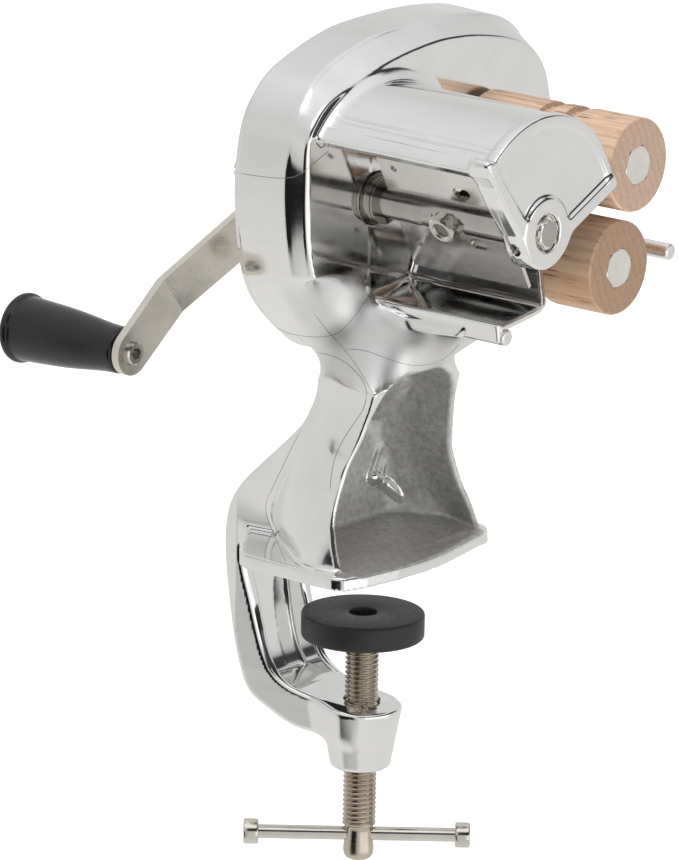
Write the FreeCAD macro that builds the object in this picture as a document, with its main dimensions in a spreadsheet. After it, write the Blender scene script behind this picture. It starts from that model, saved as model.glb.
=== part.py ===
# Hand cranked cavatelli maker with a table clamp.
# Frame: millimetres. The origin is the centre of the table seat (underside of the foot), on the
# axis of the clamp screw. +Z is up, +X runs along the crank shaft from the crank to the free ends
# of the rollers, +Y runs from the outlet towards the feed rollers.
import FreeCAD, Part
import Sketcher
import math
import os

os.makedirs("parts", exist_ok=True)
V = FreeCAD.Vector
doc = FreeCAD.newDocument("cavatelli_maker")
sheet = doc.addObject("Spreadsheet::Sheet", "Dims")
ROW = [0]


class Q:
    """A size with its sheet expression, so that features can be bound to the sheet."""

    def __init__(self, val, ex):
        self.v = float(val)
        self.ex = ex

    def __add__(self, o):
        o = wrap(o)
        return Q(self.v + o.v, "(%s + %s)" % (self.ex, o.ex))

    __radd__ = __add__

    def __sub__(self, o):
        o = wrap(o)
        return Q(self.v - o.v, "(%s - %s)" % (self.ex, o.ex))

    def __rsub__(self, o):
        o = wrap(o)
        return Q(o.v - self.v, "(%s - %s)" % (o.ex, self.ex))

    def __mul__(self, o):
        o = wrap(o)
        return Q(self.v * o.v, "(%s * %s)" % (self.ex, o.ex))

    __rmul__ = __mul__

    def __truediv__(self, o):
        o = wrap(o)
        return Q(self.v / o.v, "(%s / %s)" % (self.ex, o.ex))

    def __neg__(self):
        return Q(-self.v, "(0 - %s)" % self.ex)


def wrap(o):
    return o if isinstance(o, Q) else Q(o, "%.6f" % float(o))


def val(o):
    return o.v if isinstance(o, Q) else float(o)


def dim(alias, value, note=""):
    ROW[0] += 1
    n = ROW[0]
    sheet.set("A%d" % n, note or alias.replace("_", " "))
    sheet.set("B%d" % n, "%.5f" % value)
    sheet.setAlias("B%d" % n, alias)
    return Q(value, "Dims." + alias)


def table(name, pts):
    """A list of points kept in the sheet, two cells a row."""
    out = []
    for i, (a, b) in enumerate(pts):
        out.append((dim("%s_a%d" % (name, i), a), dim("%s_b%d" % (name, i), b)))
    return out


# ---------------------------------------------------------------- driving dimensions
axis_z = dim("axis_height", 127.4, "height of the crank axis above the table seat")
shaft_d = dim("shaft_diameter", 12.0)
up_y = dim("upper_roller_y", 58.0)
up_z = dim("upper_roller_height", 140.5)
lo_y = dim("lower_roller_y", 48.8)
module_ = dim("gear_module", 1.5)
n_p1 = dim("drive_pinion_teeth", 12)
n_g2 = dim("intermediate_gear_teeth", 30)
n_p2 = dim("intermediate_pinion_teeth", 12)
n_g3 = dim("roller_drive_gear_teeth", 36)
n_sy = dim("sync_gear_teeth", 24)
centre_d = module_ * n_sy
lo_z = dim("lower_roller_height", up_z.v - math.sqrt(centre_d.v ** 2 - (up_y.v - lo_y.v) ** 2))
# the intermediate axis lies where its two centre distances meet
r1 = module_.v * (n_p1.v + n_g2.v) / 2
r2 = module_.v * (n_p2.v + n_g3.v) / 2
dy, dz = up_y.v, up_z.v - axis_z.v
dd = math.hypot(dy, dz)
aa = (r1 ** 2 - r2 ** 2 + dd ** 2) / (2 * dd)
hh = math.sqrt(r1 ** 2 - aa ** 2)
id_y = dim("intermediate_axis_y", aa * dy / dd - hh * dz / dd)
id_z = dim("intermediate_axis_height", axis_z.v + aa * dz / dd + hh * dy / dd)

front_x = dim("front_wall_x", 2.0, "polished front face of the gear case")
wall = dim("case_wall", 3.0)
back_x = dim("case_back_x", -27.0, "rear rim of the gear case")
cover_t = dim("cover_thickness", 3.0)
round_r = dim("case_edge_radius", 4.0)
case_f = table("case_front", [
    (-39, 140), (-37.8, 152), (-33, 159.3), (-25, 164.8), (-12, 171), (2, 174.8), (16, 177), (30, 178.2),
    (45, 177.6), (60, 176), (75, 172.8), (86, 168.5), (93.5, 161), (97.5, 150), (98.5, 139), (97, 126),
    (92.5, 115), (86, 105), (79, 96), (70, 87), (58, 80), (44, 76), (30, 74), (16, 72.5), (2, 72.5),
    (-10, 75.5), (-19, 82), (-27, 90.5), (-33, 101), (-36.8, 114), (-38.7, 127)])
case_r = table("case_rear", [
    (-38.6, 138), (-37, 149.5), (-33, 160), (-25, 168), (-12.5, 173.8), (2, 178.6), (16, 181), (30, 183),
    (45, 183.8), (60, 182.8), (76, 179.8), (88, 174.5), (96, 165.5), (100.5, 153), (101.5, 139), (100, 125),
    (95.5, 113), (88.5, 103.5), (81, 94.5), (71, 85), (59, 77.5), (44, 73.5), (30, 71.5), (16, 70), (2, 69.5),
    (-8, 72.5), (-17, 79), (-25.5, 87), (-33, 98), (-36.6, 111), (-38.4, 124)])

hood_r = dim("hood_outer_radius", 41.0)
hood_t = dim("hood_wall", 3.0)
hood_a0 = dim("hood_right_angle", 17.0, "degrees from +Y")
hood_a1 = dim("hood_left_angle", 136.0, "degrees from +Y")
plate_x0 = dim("end_plate_inner_x", 73.0)
plate_x1 = dim("end_plate_outer_x", 76.0)
hub_r = dim("hub_radius", 12.0)
hub_x0 = dim("hub_inner_x", 65.0)
hub_bore = dim("hub_bore_radius", 7.5)

trough_len = dim("trough_end_x", 60.0)
trough_t = dim("trough_wall", 2.4)
trough_c = table("trough_line", [(33.0, 118.5), (25.5, 109.0), (21.3, 100.2), (19.8, 97.2), (16.6, 95.3), (-3.2, 92.6)])
lip_h = dim("lip_height", 6.4)
rod_d = dim("rod_diameter", 5.8)
rod_y = dim("outlet_rod_y", -0.2)
rod_z = dim("outlet_rod_height", 88.3)
guide_y = dim("guide_rod_y", 78.5)
guide_z = dim("guide_rod_height", 106.1)

roller_r = dim("roller_radius", 16.5)
roller_x0 = dim("roller_inner_x", 5.0)
roller_x1 = dim("roller_outer_x", 70.7)
hex_af = dim("hex_across_flats", 12.7)
neck_d = dim("roller_neck_diameter", 10.0)
fit_c = dim("running_clearance", 0.05, "radial")

blade_r = dim("blade_tip_radius", 27.0)
blade_t = dim("blade_thickness", 1.5)
blade_x0 = dim("blade_inner_x", 10.0)
blade_x1 = dim("blade_outer_x", 60.0)
blade_ph = dim("blade_phase_degrees", 28.1)
flat_h = dim("shaft_flat_height", 5.0, "flat to axis, where the nut and the head of the blade bolt sit")
nut_x = dim("blade_bolt_x", 37.4)

arm_ang = dim("crank_angle_degrees", -141.3)
arm_r = dim("crank_radius", 83.5)
arm_w = dim("crank_arm_width", 16.0)
arm_t = dim("crank_arm_thickness", 3.0)
arm_x1 = dim("crank_arm_outer_face_x", -51.0)
arm_x0 = dim("crank_arm_hub_face_x", -34.3)
arm_bend = dim("crank_arm_bend_radius_position", 57.0)

seat_t = dim("foot_thickness", 5.0)
frame_w = dim("clamp_frame_width", 36.0)
boss_r0 = dim("boss_top_radius", 14.6)
boss_r1 = dim("boss_bottom_radius", 10.5)
boss_z0 = dim("boss_top_height", -55.0)
boss_z1 = dim("boss_bottom_height", -78.0)
pad_r = dim("pad_radius", 21.7)
pad_z1 = dim("pad_top_height", -21.4)
pad_h = dim("pad_thickness", 9.0)
screw_r = dim("clamp_screw_radius", 5.92)
screw_pitch = dim("clamp_screw_pitch", 1.75)
tbar_r = dim("tbar_radius", 2.5)
tbar_len = dim("tbar_length", 80.0)
tbar_z = dim("tbar_height", -103.2)
doc.recompute()

NODES = []


# ---------------------------------------------------------------- helpers
def role_plane(body, role):
    for f in body.Origin.OriginFeatures:
        if f.Role == role:
            return f


def bind(obj, prop, q):
    if isinstance(q, Q):
        obj.setExpression(prop, q.ex)


def new_body(label, base=(0, 0, 0), rot=None):
    b = doc.addObject("PartDesign::Body", label)
    b.Label = label
    b.Placement = FreeCAD.Placement(V(*[val(c) for c in base]), rot or FreeCAD.Rotation())
    for k, c in zip("xyz", base):
        bind(b, ".Placement.Base.%s" % k, c)
    NODES.append(b)
    return b


def sketch_on(body, name, role, offset=0):
    s = body.newObject("Sketcher::SketchObject", name)
    s.AttachmentSupport = [(role_plane(body, role), "")]
    s.MapMode = "FlatFace"
    if val(offset):
        s.AttachmentOffset = FreeCAD.Placement(V(0, 0, val(offset)), FreeCAD.Rotation())
        bind(s, ".AttachmentOffset.Base.z", offset)
    return s


def add_loop(s, pts):
    """A closed polygon whose corners are held at their coordinates."""
    n = len(pts)
    first = s.GeometryCount
    for i in range(n):
        a, b = pts[i], pts[(i + 1) % n]
        s.addGeometry(Part.LineSegment(V(val(a[0]), val(a[1]), 0), V(val(b[0]), val(b[1]), 0)), False)
    for i in range(n):
        s.addConstraint(Sketcher.Constraint("Coincident", first + i, 2, first + (i + 1) % n, 1))
    for i in range(n):
        for kind, q in (("DistanceX", pts[i][0]), ("DistanceY", pts[i][1])):
            k = s.addConstraint(Sketcher.Constraint(kind, first + i, 1, val(q)))
            if isinstance(q, Q):
                s.setExpression("Constraints[%d]" % k, q.ex)


def add_circle(s, y, z, r):
    g = s.addGeometry(Part.Circle(V(val(y), val(z), 0), V(0, 0, 1), val(r)), False)
    for kind, q in (("DistanceX", y), ("DistanceY", z)):
        k = s.addConstraint(Sketcher.Constraint(kind, g, 3, val(q)))
        if isinstance(q, Q):
            s.setExpression("Constraints[%d]" % k, q.ex)
    k = s.addConstraint(Sketcher.Constraint("Radius", g, val(r)))
    if isinstance(r, Q):
        s.setExpression("Constraints[%d]" % k, r.ex)


def lathe(label, prof, base=(0, 0, 0), rot=None):
    """A turned piece: the profile is (along the axis, radius), turned about the body's own X axis."""
    b = new_body(label, base, rot)
    s = sketch_on(b, label + "_profile", "XY_Plane")
    add_loop(s, prof)
    r = b.newObject("PartDesign::Revolution", label + "_turned")
    r.Profile = s
    r.ReferenceAxis = (s, ["H_Axis"])
    r.Angle = 360
    b.Tip = r
    return b


def pad_x(b, name, x0, length, loops=(), circles=()):
    """A prism along X from a sketch in the YZ plane."""
    s = sketch_on(b, name + "_sketch", "YZ_Plane", x0)
    for l in loops:
        add_loop(s, l)
    for c in circles:
        add_circle(s, *c)
    p = b.newObject("PartDesign::Pad", name)
    p.Profile = s
    p.Length = val(length)
    bind(p, "Length", length)
    b.Tip = p
    return p


def cut_x(b, name, x0, length, loops=(), circles=()):
    """A pocket along +X, from x0."""
    doc.recompute()
    before = b.Shape.Volume
    s = sketch_on(b, name + "_sketch", "YZ_Plane", x0)
    for l in loops:
        add_loop(s, l)
    for c in circles:
        add_circle(s, *c)
    p = b.newObject("PartDesign::Pocket", name)
    p.Profile = s
    p.Reversed = True
    p.Length = val(length)
    bind(p, "Length", length)
    b.Tip = p
    doc.recompute()
    if b.Shape.Volume >= before - 1e-3:
        raise RuntimeError("pocket %s cuts nothing" % name)
    return p


def hexagon(af, turn=0.0):
    """Corners of a hexagon, bound to its size across flats."""
    out = []
    for i in range(6):
        a = math.radians(60 * i + turn)
        out.append((wrap(af) * (math.cos(a) / math.sqrt(3)), wrap(af) * (math.sin(a) / math.sqrt(3))))
    return out


def feature(label, shape, base=(0, 0, 0), rot=None):
    f = doc.addObject("Part::Feature", label)
    f.Label = label
    f.Shape = shape
    f.Placement = FreeCAD.Placement(V(*[val(c) for c in base]), rot or FreeCAD.Rotation())
    NODES.append(f)
    return f


def cyl(r, x0, x1, y=0.0, z=0.0):
    return Part.makeCylinder(val(r), val(x1) - val(x0), V(val(x0), val(y), val(z)), V(1, 0, 0))


def poly(points):
    return Part.Face(Part.makePolygon(list(points) + [points[0]]))


def prism(pts, x0, x1):
    return poly([V(val(x0), val(a), val(b)) for a, b in pts]).extrude(V(val(x1) - val(x0), 0, 0))


def spline_wire(pts, x):
    c = Part.BSplineCurve()
    c.interpolate(Points=[V(val(x), val(a), val(b)) for a, b in pts], PeriodicFlag=True)
    return Part.Wire([c.toShape()])


def inset(pts, d):
    """The closed outline (clockwise in Y, Z) moved inwards by d."""
    out = []
    n = len(pts)
    for i in range(n):
        (ay, az), (by, bz) = pts[i - 1], pts[(i + 1) % n]
        ty, tz = val(by) - val(ay), val(bz) - val(az)
        l = math.hypot(ty, tz)
        out.append((val(pts[i][0]) + d * tz / l, val(pts[i][1]) - d * ty / l))
    return out


def offset_line(line, t):
    """A strip of thickness t on the left of an open line."""
    n = len(line)
    side = []
    for i in range(n):
        p = V(line[i][0], line[i][1], 0)
        d0 = d1 = None
        if i > 0:
            d0 = (p - V(line[i - 1][0], line[i - 1][1], 0)).normalize()
        if i < n - 1:
            d1 = (V(line[i + 1][0], line[i + 1][1], 0) - p).normalize()
        d0, d1 = d0 or d1, d1 or d0
        n0 = V(-d0.y, d0.x, 0)
        m = (n0 + V(-d1.y, d1.x, 0)).normalize()
        k = t / m.dot(n0)
        side.append((p.x + m.x * k, p.y + m.y * k))
    return list(line) + side[::-1]


def polar(r, deg, y=0.0, z=0.0):
    a = math.radians(val(deg))
    return (val(y) + val(r) * math.cos(a), val(z) + val(r) * math.sin(a))


TO_Z = FreeCAD.Rotation(V(0, 1, 0), -90)   # turns the turning axis X to +Z

# ---------------------------------------------------------------- gear case
outer = Part.makeLoft([spline_wire(case_r, back_x), spline_wire(case_f, front_x)], True, True)
edges = [e for e in outer.Edges if abs(e.BoundBox.XMin - front_x.v) < 0.01 and abs(e.BoundBox.XMax - front_x.v) < 0.01]
case_outer = outer
for rr in (round_r.v, round_r.v * 0.6):
    try:
        t = outer.makeFillet(rr, edges)
        if t.isValid() and t.Volume < outer.Volume:
            case_outer = t
            break
    except Exception as err:
        print("case edge radius", rr, "not made:", err)
case_line = [(val(a), val(b)) for a, b in case_f]
hollow = prism(inset(case_line, wall.v + 1.0), back_x.v - 1, front_x.v - wall.v)
case = case_outer.cut(hollow)
cover_pts = [(-32.0, 138.0), (-15.0, 163.5), (61.0, 172.0), (91.0, 141.0), (66.0, 91.5), (-22.5, 97.5)]
for y, z in cover_pts:
    case = case.fuse(cyl(5.0, back_x.v, back_x.v + 9, y, z).common(case_outer))
for y, z, r in ((id_y, id_z, 7.5), (guide_y, guide_z, 6.0), (rod_y, rod_z, 6.0)):
    case = case.fuse(cyl(r, front_x.v - wall.v - 5.0, front_x.v - wall.v + 0.2, y, z))
for y, z in cover_pts:
    case = case.cut(cyl(1.7, back_x.v - 1, back_x.v + 7.5, y, z))
case = case.cut(cyl(9.0, -10, 10, 0, axis_z))
for y, z in ((up_y, up_z), (lo_y, lo_z)):
    case = case.cut(cyl(8.5, -10, 10, y, z))
case = case.cut(cyl(4.0, -10, 0.5, id_y, id_z))
case = case.cut(cyl(rod_d.v / 2, -4.0, 10, guide_y, guide_z))
case = case.cut(cyl(rod_d.v / 2, -4.0, 10, rod_y, rod_z))
feature("gear_case", case.removeSplitter())

# ---------------------------------------------------------------- rear cover
cover = Part.Face(spline_wire(inset([(val(a), val(b)) for a, b in case_r], 1.2), back_x.v - cover_t.v)).extrude(V(cover_t.v, 0, 0))
for y, z, r in ((0.0, axis_z, 12.0), (up_y, up_z, 10.5), (lo_y, lo_z, 10.5), (id_y, id_z, 9.0)):
    cover = cover.fuse(cyl(r, back_x.v - cover_t.v - 3.0, back_x.v - cover_t.v + 0.1, y, z))
cover = cover.cut(cyl(8.5, -40, -20, 0, axis_z))
for y, z in ((up_y, up_z), (lo_y, lo_z)):
    cover = cover.cut(cyl(7.5, back_x.v - cover_t.v - 1.0, -20, y, z))
cover = cover.cut(cyl(4.0, back_x.v - cover_t.v - 1.0, -20, id_y, id_z))
for y, z in cover_pts:
    cover = cover.cut(cyl(2.2, -40, -20, y, z))
feature("rear_cover", cover.removeSplitter())

screws = []
for y, z in cover_pts:
    s = cyl(1.7, back_x.v - cover_t.v, back_x.v + 6.5, y, z)
    h = cyl(3.6, back_x.v - cover_t.v - 2.2, back_x.v - cover_t.v, y, z)
    slot = Part.makeBox(1.2, 8, 0.9, V(back_x.v - cover_t.v - 2.4, y - 4, z - 0.45))
    screws.append(s.fuse(h).cut(slot).removeSplitter())
feature("cover_screws", Part.makeCompound(screws))

# ---------------------------------------------------------------- rotor hood with end plate and hub
a0, a1 = hood_a0.v, hood_a1.v
hr, ht = hood_r.v, hood_t.v
fx, px0, px1 = front_x.v, plate_x0.v, plate_x1.v


def sector(pts, start, sweep):
    f = poly([V(a, c, 0) for a, c in pts]).revolve(V(0, 0, 0), V(1, 0, 0), sweep)
    f.rotate(V(0, 0, 0), V(1, 0, 0), start)
    f.translate(V(0, 0, axis_z.v))
    return f


hood = sector([(fx, hr), (px0, hr - 1.0), (px0, hr - 1.0 - ht), (fx, hr - ht)], a0, a1 - a0)
lip = sector([(fx, hr + 2.2), (px0, hr + 1.2), (px0, hr - 4.0), (fx, hr - 3.0)], a1 - 2.0, 4.5)
collar = sector([(fx, hr + 4.5), (fx + 1.6, hr + 3.6), (fx + 4.0, hr + 0.9), (fx + 6.0, hr - 0.4), (fx + 6.0, hr - 2.0), (fx, hr - 2.0)], a0, a1 - a0)
plate_pts = [polar(hr - 1.0, a0 + (a1 - a0) * i / 24.0, 0, axis_z) for i in range(25)]
plate_pts += [(-35.0, 156.2), (-22.3, 134.4), (-16.5, 127.0), (-11.0, 118.5), (0.0, 115.6), (9.5, 118.8), (15.5, 125.5), (38.5, 136.8)]
plate = prism(plate_pts, px0, px1)
hood = hood.fuse([lip, collar, plate, cyl(hub_r, hub_x0, px1, 0, axis_z)])
hood = hood.cut(cyl(hub_bore, hub_x0.v - 1, 80, 0, axis_z))
ss_dir = V(0, math.cos(math.radians(200)), math.sin(math.radians(200)))
hood = hood.cut(Part.makeCylinder(2.0, 18, V(69.0, 0, axis_z.v), ss_dir))
feature("rotor_hood", hood.removeSplitter())

lathe("hub_bush", [(hub_x0 + 0.4, shaft_d / 2 + fit_c), (plate_x1 - 0.6, shaft_d / 2 + fit_c), (plate_x1 - 0.6, hub_bore), (hub_x0 + 0.4, hub_bore)], (0, 0, axis_z))

sscrew = Part.makeCylinder(2.0, 4.6, V(69.0, 0, axis_z.v) + ss_dir * hub_bore.v, ss_dir)
hexkey = poly([V(1.15 * math.cos(math.radians(60 * i)), 1.15 * math.sin(math.radians(60 * i)), 0) for i in range(6)]).extrude(V(0, 0, 3))
hexkey.Placement = FreeCAD.Placement(V(69.0, 0, axis_z.v) + ss_dir * (hub_bore.v + 2.6), FreeCAD.Rotation(V(0, 0, 1), ss_dir))
feature("hub_set_screw", sscrew.cut(hexkey))

# ---------------------------------------------------------------- outlet trough
line = [(val(a), val(b)) for a, b in trough_c]
trough = prism(offset_line(line, trough_t.v), front_x.v, trough_len.v)
ly, lz = line[-1]
trough = trough.fuse(Part.makeBox(trough_len.v - front_x.v, 1.6, lip_h.v, V(front_x.v, ly - 1.4, lz + 0.6 - lip_h.v)))
tl = trough_len.v
cutter = poly([V(tl + 0.5, -20, 96.0), V(tl - 13.0, -20, 122.0), V(tl + 5, -20, 122.0), V(tl + 5, -20, 96.0)]).extrude(V(0, 80, 0))
trough = trough.cut(cutter)
trough = trough.cut(cyl(rod_d.v / 2, 0, 70, rod_y, rod_z)).removeSplitter()
feature("outlet_trough", trough)
lathe("outlet_rod", [(-3.8, 0), (-3.8, rod_d / 2), (trough_len + 0.6, rod_d / 2), (trough_len + 1.0, rod_d / 2 - 0.4), (trough_len + 1.0, 0)], (0, rod_y, rod_z))
lathe("infeed_guide_rod", [(-3.8, 0), (-3.8, rod_d / 2), (roller_x1 - 0.4, rod_d / 2), (roller_x1, rod_d / 2 - 0.4), (roller_x1, 0)], (0, guide_y, guide_z))

# ---------------------------------------------------------------- pedestal
fronts = table("pedestal_front", [(22.5, 40.0), (20.6, 39.7), (17.9, 38.9), (14.9, 36.9), (14.1, 33.0), (15.4, 29.7), (18.5, 26.2), (21.3, 24.2), (23.0, 24.0), (24.0, 22.5), (19.0, 20.5)])
sides = table("pedestal_side", [(8.0, 43.0), (7.0, 42.5), (5.0, 40.5), (2.0, 36.5), (-1.0, 31.0), (-1.0, 27.0), (1.0, 24.0), (4.0, 22.0), (4.0, 22.0), (2.0, 21.5), (-2.0, 21.0)])
backs = table("pedestal_back", [(-25.0, 17.5), (-26.0, 17.2), (-29.0, 17.0), (-27.0, 17.0), (-22.5, 17.0), (-18.0, 17.0), (-13.0, 17.0), (-8.5, 17.0), (-9.0, 17.0), (-14.0, 18.0), (-20.0, 18.0)])
heights = [0.0, 5.0, 12.0, 20.0, 30.0, 40.0, 50.0, 60.0, 68.0, 77.0, 90.0]


def pair(q):
    return val(q[0]), val(q[1])


def level(pts, z):
    return Part.makePolygon([V(a, c, z) for a, c in pts + pts[:1]])


rings = []
for f, s, r, z in zip(fronts, sides, backs, heights):
    (f0, f1), (s0, s1), (r0, r1) = pair(f), pair(s), pair(r)
    rings.append(level([(f0, -f1), (f0, f1), (s0, s1), (r0, r1), (r0, -r1), (s0, -s1)], z))
shell = Part.makeLoft(rings, True, True)
rings = []
for j, z, top in ((0, 3.0, 0.0), (1, 5.0, 0.0), (2, 12.0, 0.0), (3, 20.0, 0.0), (4, 30.0, 0.0), (5, 40.0, 0.0), (6, 50.0, 0.0), (7, 60.0, 0.6), (8, 66.0, 4.5), (8, 69.0, 11.0)):
    (f0, f1), (s0, s1), (r0, r1) = pair(fronts[j]), pair(sides[j]), pair(backs[j])
    f1, s1, r0, r1 = f1 - 3.0 - top, s1 - 3.6 - top, r0 + 4.5, r1 - 3.2 - top * 0.9
    rings.append(level([(60.0, -f1), (60.0, f1), (f0, f1), (s0, s1), (r0, r1), (r0, -r1), (s0, -s1), (f0, -f1)], z))
cavity = Part.makeLoft(rings, True, True)
foot_half = table("foot_outline", [(-49.9, -17.5), (-38, -18.0), (-21, -42), (-17, -44), (23, -44), (27, -41), (30.3, -18), (31.2, 0)])
fh = [pair(q) for q in foot_half]
foot_pts = fh + [(a, -c) for a, c in fh[-2::-1]]
foot = Part.Face(level(foot_pts, 0.0)).extrude(V(0, 0, seat_t.v))
spine_o = table("spine_outer", [(-49.9, 0), (-49.1, 7.5), (-47.4, 13.4), (-42.9, 20.4), (-33.9, 29.4), (-20.5, 42), (-13.9, 49.4), (-10.5, 56.5), (-8.6, 62)])
spine_i = table("spine_inner", [(2, 62), (-3, 52), (-11, 42), (-19, 30), (-24, 20), (-27, 10), (-28, 0)])
sp = [pair(q) for q in spine_o + spine_i]
spine = poly([V(a, -17.2, c) for a, c in sp]).extrude(V(0, 34.4, 0))
ped = shell.fuse(foot).cut(cavity).fuse(spine)
# the frame's head fills the rear end of the foot, so the seat ends in front of it
ped = ped.cut(Part.makeBox(20.0, 60.0, 1.0 + seat_t.v, V(-61.2, -30.0, -1.0)))
ped = ped.cut(case_outer).cut(trough)
ped = ped.cut(cyl(rod_d.v / 2, 0, 70, rod_y, rod_z)).removeSplitter()
# the casting is one piece, so crumbs cut off above the trough are dropped
feature("pedestal", max(ped.Solids, key=lambda q: q.Volume))

# ---------------------------------------------------------------- clamp frame
fo = table("frame_outer", [(-49.37, 5.0), (-49.9, 0), (-49.9, -2), (-47.6, -23), (-44, -41), (-39, -55), (-31, -60.4), (-20.5, -65), (-1.3, -66), (3, -66)])
fi = table("frame_inner", [(3, -54.2), (-5, -53.2), (-14, -52), (-22, -50.4), (-27.7, -48), (-31.5, -42), (-37.5, -21), (-41, -9), (-41.3, -4), (-41.3, 5.0)])
hw = frame_w.v / 2 - 0.5
frame = poly([V(a, -hw, c) for a, c in [pair(q) for q in fo + fi]]).extrude(V(0, 2 * hw, 0))
for sgn in (-1, 1):
    w = poly([V(-22, sgn * (hw + 0.01), -90), V(8, sgn * 12.0, -90), V(8, sgn * 30, -90), V(-22, sgn * 30, -90)])
    frame = frame.cut(w.extrude(V(0, 0, 60)))
recess = poly([V(a, -(hw - 4.5), c) for a, c in ((-45.6, -6), (-42.6, -22), (-36.6, -41), (-24, -41), (-24, -6))]).extrude(V(0, 2 * (hw - 4.5), 0))
frame = frame.cut(recess)
frame = frame.fuse(Part.makeCone(boss_r1.v, boss_r0.v, boss_z0.v - boss_z1.v, V(0, 0, boss_z1.v), V(0, 0, 1)))
frame = frame.cut(Part.makeCylinder(screw_r.v + fit_c.v, 60, V(0, 0, -100), V(0, 0, 1)))
feature("clamp_frame", frame.removeSplitter())

# ---------------------------------------------------------------- clamp screw, pad and bar
BAR_ANG = math.degrees(math.atan2(0.633, 0.774))
lathe("clamp_screw", [(pad_z1 - pad_h + 2.0, 0), (pad_z1 - pad_h + 2.0, 4.2), (pad_z1 - pad_h - 0.6, 4.2), (pad_z1 - pad_h - 0.6, screw_r), (-99.0, screw_r), (-100.2, 4.2), (-105.2, 4.2), (-107.0, 5.2),
                      (-109.5, 5.3), (-111.3, 4.2), (-112.3, 2.0), (-112.3, 0)], (0, 0, 0), FreeCAD.Rotation(V(0, 0, 1), BAR_ANG + 90).multiply(TO_Z))
b = NODES[-1]
doc.recompute()
v0 = b.Shape.Volume
s = sketch_on(b, "tbar_hole_sketch", "XZ_Plane")
add_circle(s, tbar_z, 0.0, tbar_r + fit_c)
p = b.newObject("PartDesign::Pocket", "tbar_hole")
p.Profile = s
p.Type = 1
p.Midplane = True
b.Tip = p
doc.recompute()
print("bar hole removes", round(v0 - b.Shape.Volume, 1), "mm3")

lathe("clamp_pad", [(pad_z1 - pad_h, 4.28), (pad_z1 - pad_h, pad_r - 0.8), (pad_z1 - pad_h + 0.8, pad_r), (pad_z1 - 0.8, pad_r), (pad_z1, pad_r - 0.8), (pad_z1, 5.0), (pad_z1 - pad_h + 1.2, 5.0), (pad_z1 - pad_h + 1.2, 4.28)], (0, 0, 0), TO_Z)
lathe("pad_clip", [(pad_z1 - pad_h + 1.3, 4.2), (pad_z1 - pad_h + 1.3, 4.9), (pad_z1 - pad_h + 1.9, 4.9), (pad_z1 - pad_h + 1.9, 4.2)], (0, 0, 0), TO_Z)
BAR = FreeCAD.Rotation(V(0, 0, 1), BAR_ANG)
lathe("tbar", [(-(tbar_len / 2) - 0.7, 0), (-(tbar_len / 2) - 0.7, tbar_r), (tbar_len / 2 - 0.7, tbar_r), (tbar_len / 2 - 0.7, 0)], (0, 0, tbar_z), BAR)
caps = []
for sgn in (-1, 1):
    e = sgn * tbar_len.v / 2 - 0.7
    c = cyl(4.5, e - 5.3 if sgn > 0 else e, e if sgn > 0 else e + 5.3)
    c = c.makeFillet(0.5, [q for q in c.Edges if q.Length > 20])
    caps.append(c.cut(cyl(tbar_r, -60, 60)))
feature("tbar_caps", Part.makeCompound(caps), (0, 0, tbar_z), BAR)

# ---------------------------------------------------------------- crank shaft and rotor
sr = shaft_d / 2
lathe("crank_shaft", [(arm_x0 - arm_t - 7.5, 0), (arm_x0 - arm_t - 7.5, 4.0), (arm_x0 - arm_t, 4.0), (arm_x0 - arm_t, 4.6), (arm_x0, 4.6), (arm_x0, sr), (plate_x1 - 0.6, sr), (plate_x1 - 0.6, 5.3), (plate_x1 + 0.6, 5.3), (plate_x1 + 1.6, 4.3), (plate_x1 + 1.6, 0)], (0, 0, axis_z))
b = NODES[-1]
a = math.radians(blade_ph.v)
un, vn = (-math.cos(a), -math.sin(a)), (-math.sin(a), math.cos(a))   # outward normal of the front flat, and along the wing


def rot_pt(n, r):
    """A point n along the front normal and r along the upper wing, in the rotor's section."""
    n, r = wrap(n), wrap(r)
    return (n * un[0] + r * vn[0], n * un[1] + r * vn[1])


# the blade is one flat strip pushed through a slot in the shaft, with a seat for the nut and one for the bolt's head
half_slot = blade_t / 2 + fit_c
cut_x(b, "blade_slot", blade_x0 - 0.1, blade_x1 - blade_x0 + 0.2, [[rot_pt(half_slot, 9.0), rot_pt(half_slot, -9.0), rot_pt(half_slot * -1, -9.0), rot_pt(half_slot * -1, 9.0)]])
for k, sgn in (("front", 1), ("rear", -1)):
    cut_x(b, "bolt_seat_" + k, nut_x - 6.4, 12.8, [[rot_pt(flat_h * sgn, 9.0), rot_pt(8.0 * sgn, 9.0), rot_pt(8.0 * sgn, -9.0), rot_pt(flat_h * sgn, -9.0)]])
bb = new_body("cutter_blade", (0, 0, axis_z))
hb = blade_t / 2
pad_x(bb, "blade_plate", blade_x0, blade_x1 - blade_x0, [[rot_pt(hb, blade_r * -1), rot_pt(hb, blade_r), rot_pt(hb * -1, blade_r), rot_pt(hb * -1, blade_r * -1)]])

bolt_dir = V(0, un[0], un[1])
ctr = V(nut_x.v, 0, axis_z.v)


def along(shape, start):
    shape.Placement = FreeCAD.Placement(ctr + bolt_dir * start, FreeCAD.Rotation(V(0, 0, 1), bolt_dir))
    return shape


def hexprism(af, h):
    return poly([V(af / math.sqrt(3) * math.cos(math.radians(60 * i)), af / math.sqrt(3) * math.sin(math.radians(60 * i)), 0) for i in range(6)]).extrude(V(0, 0, h))


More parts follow.
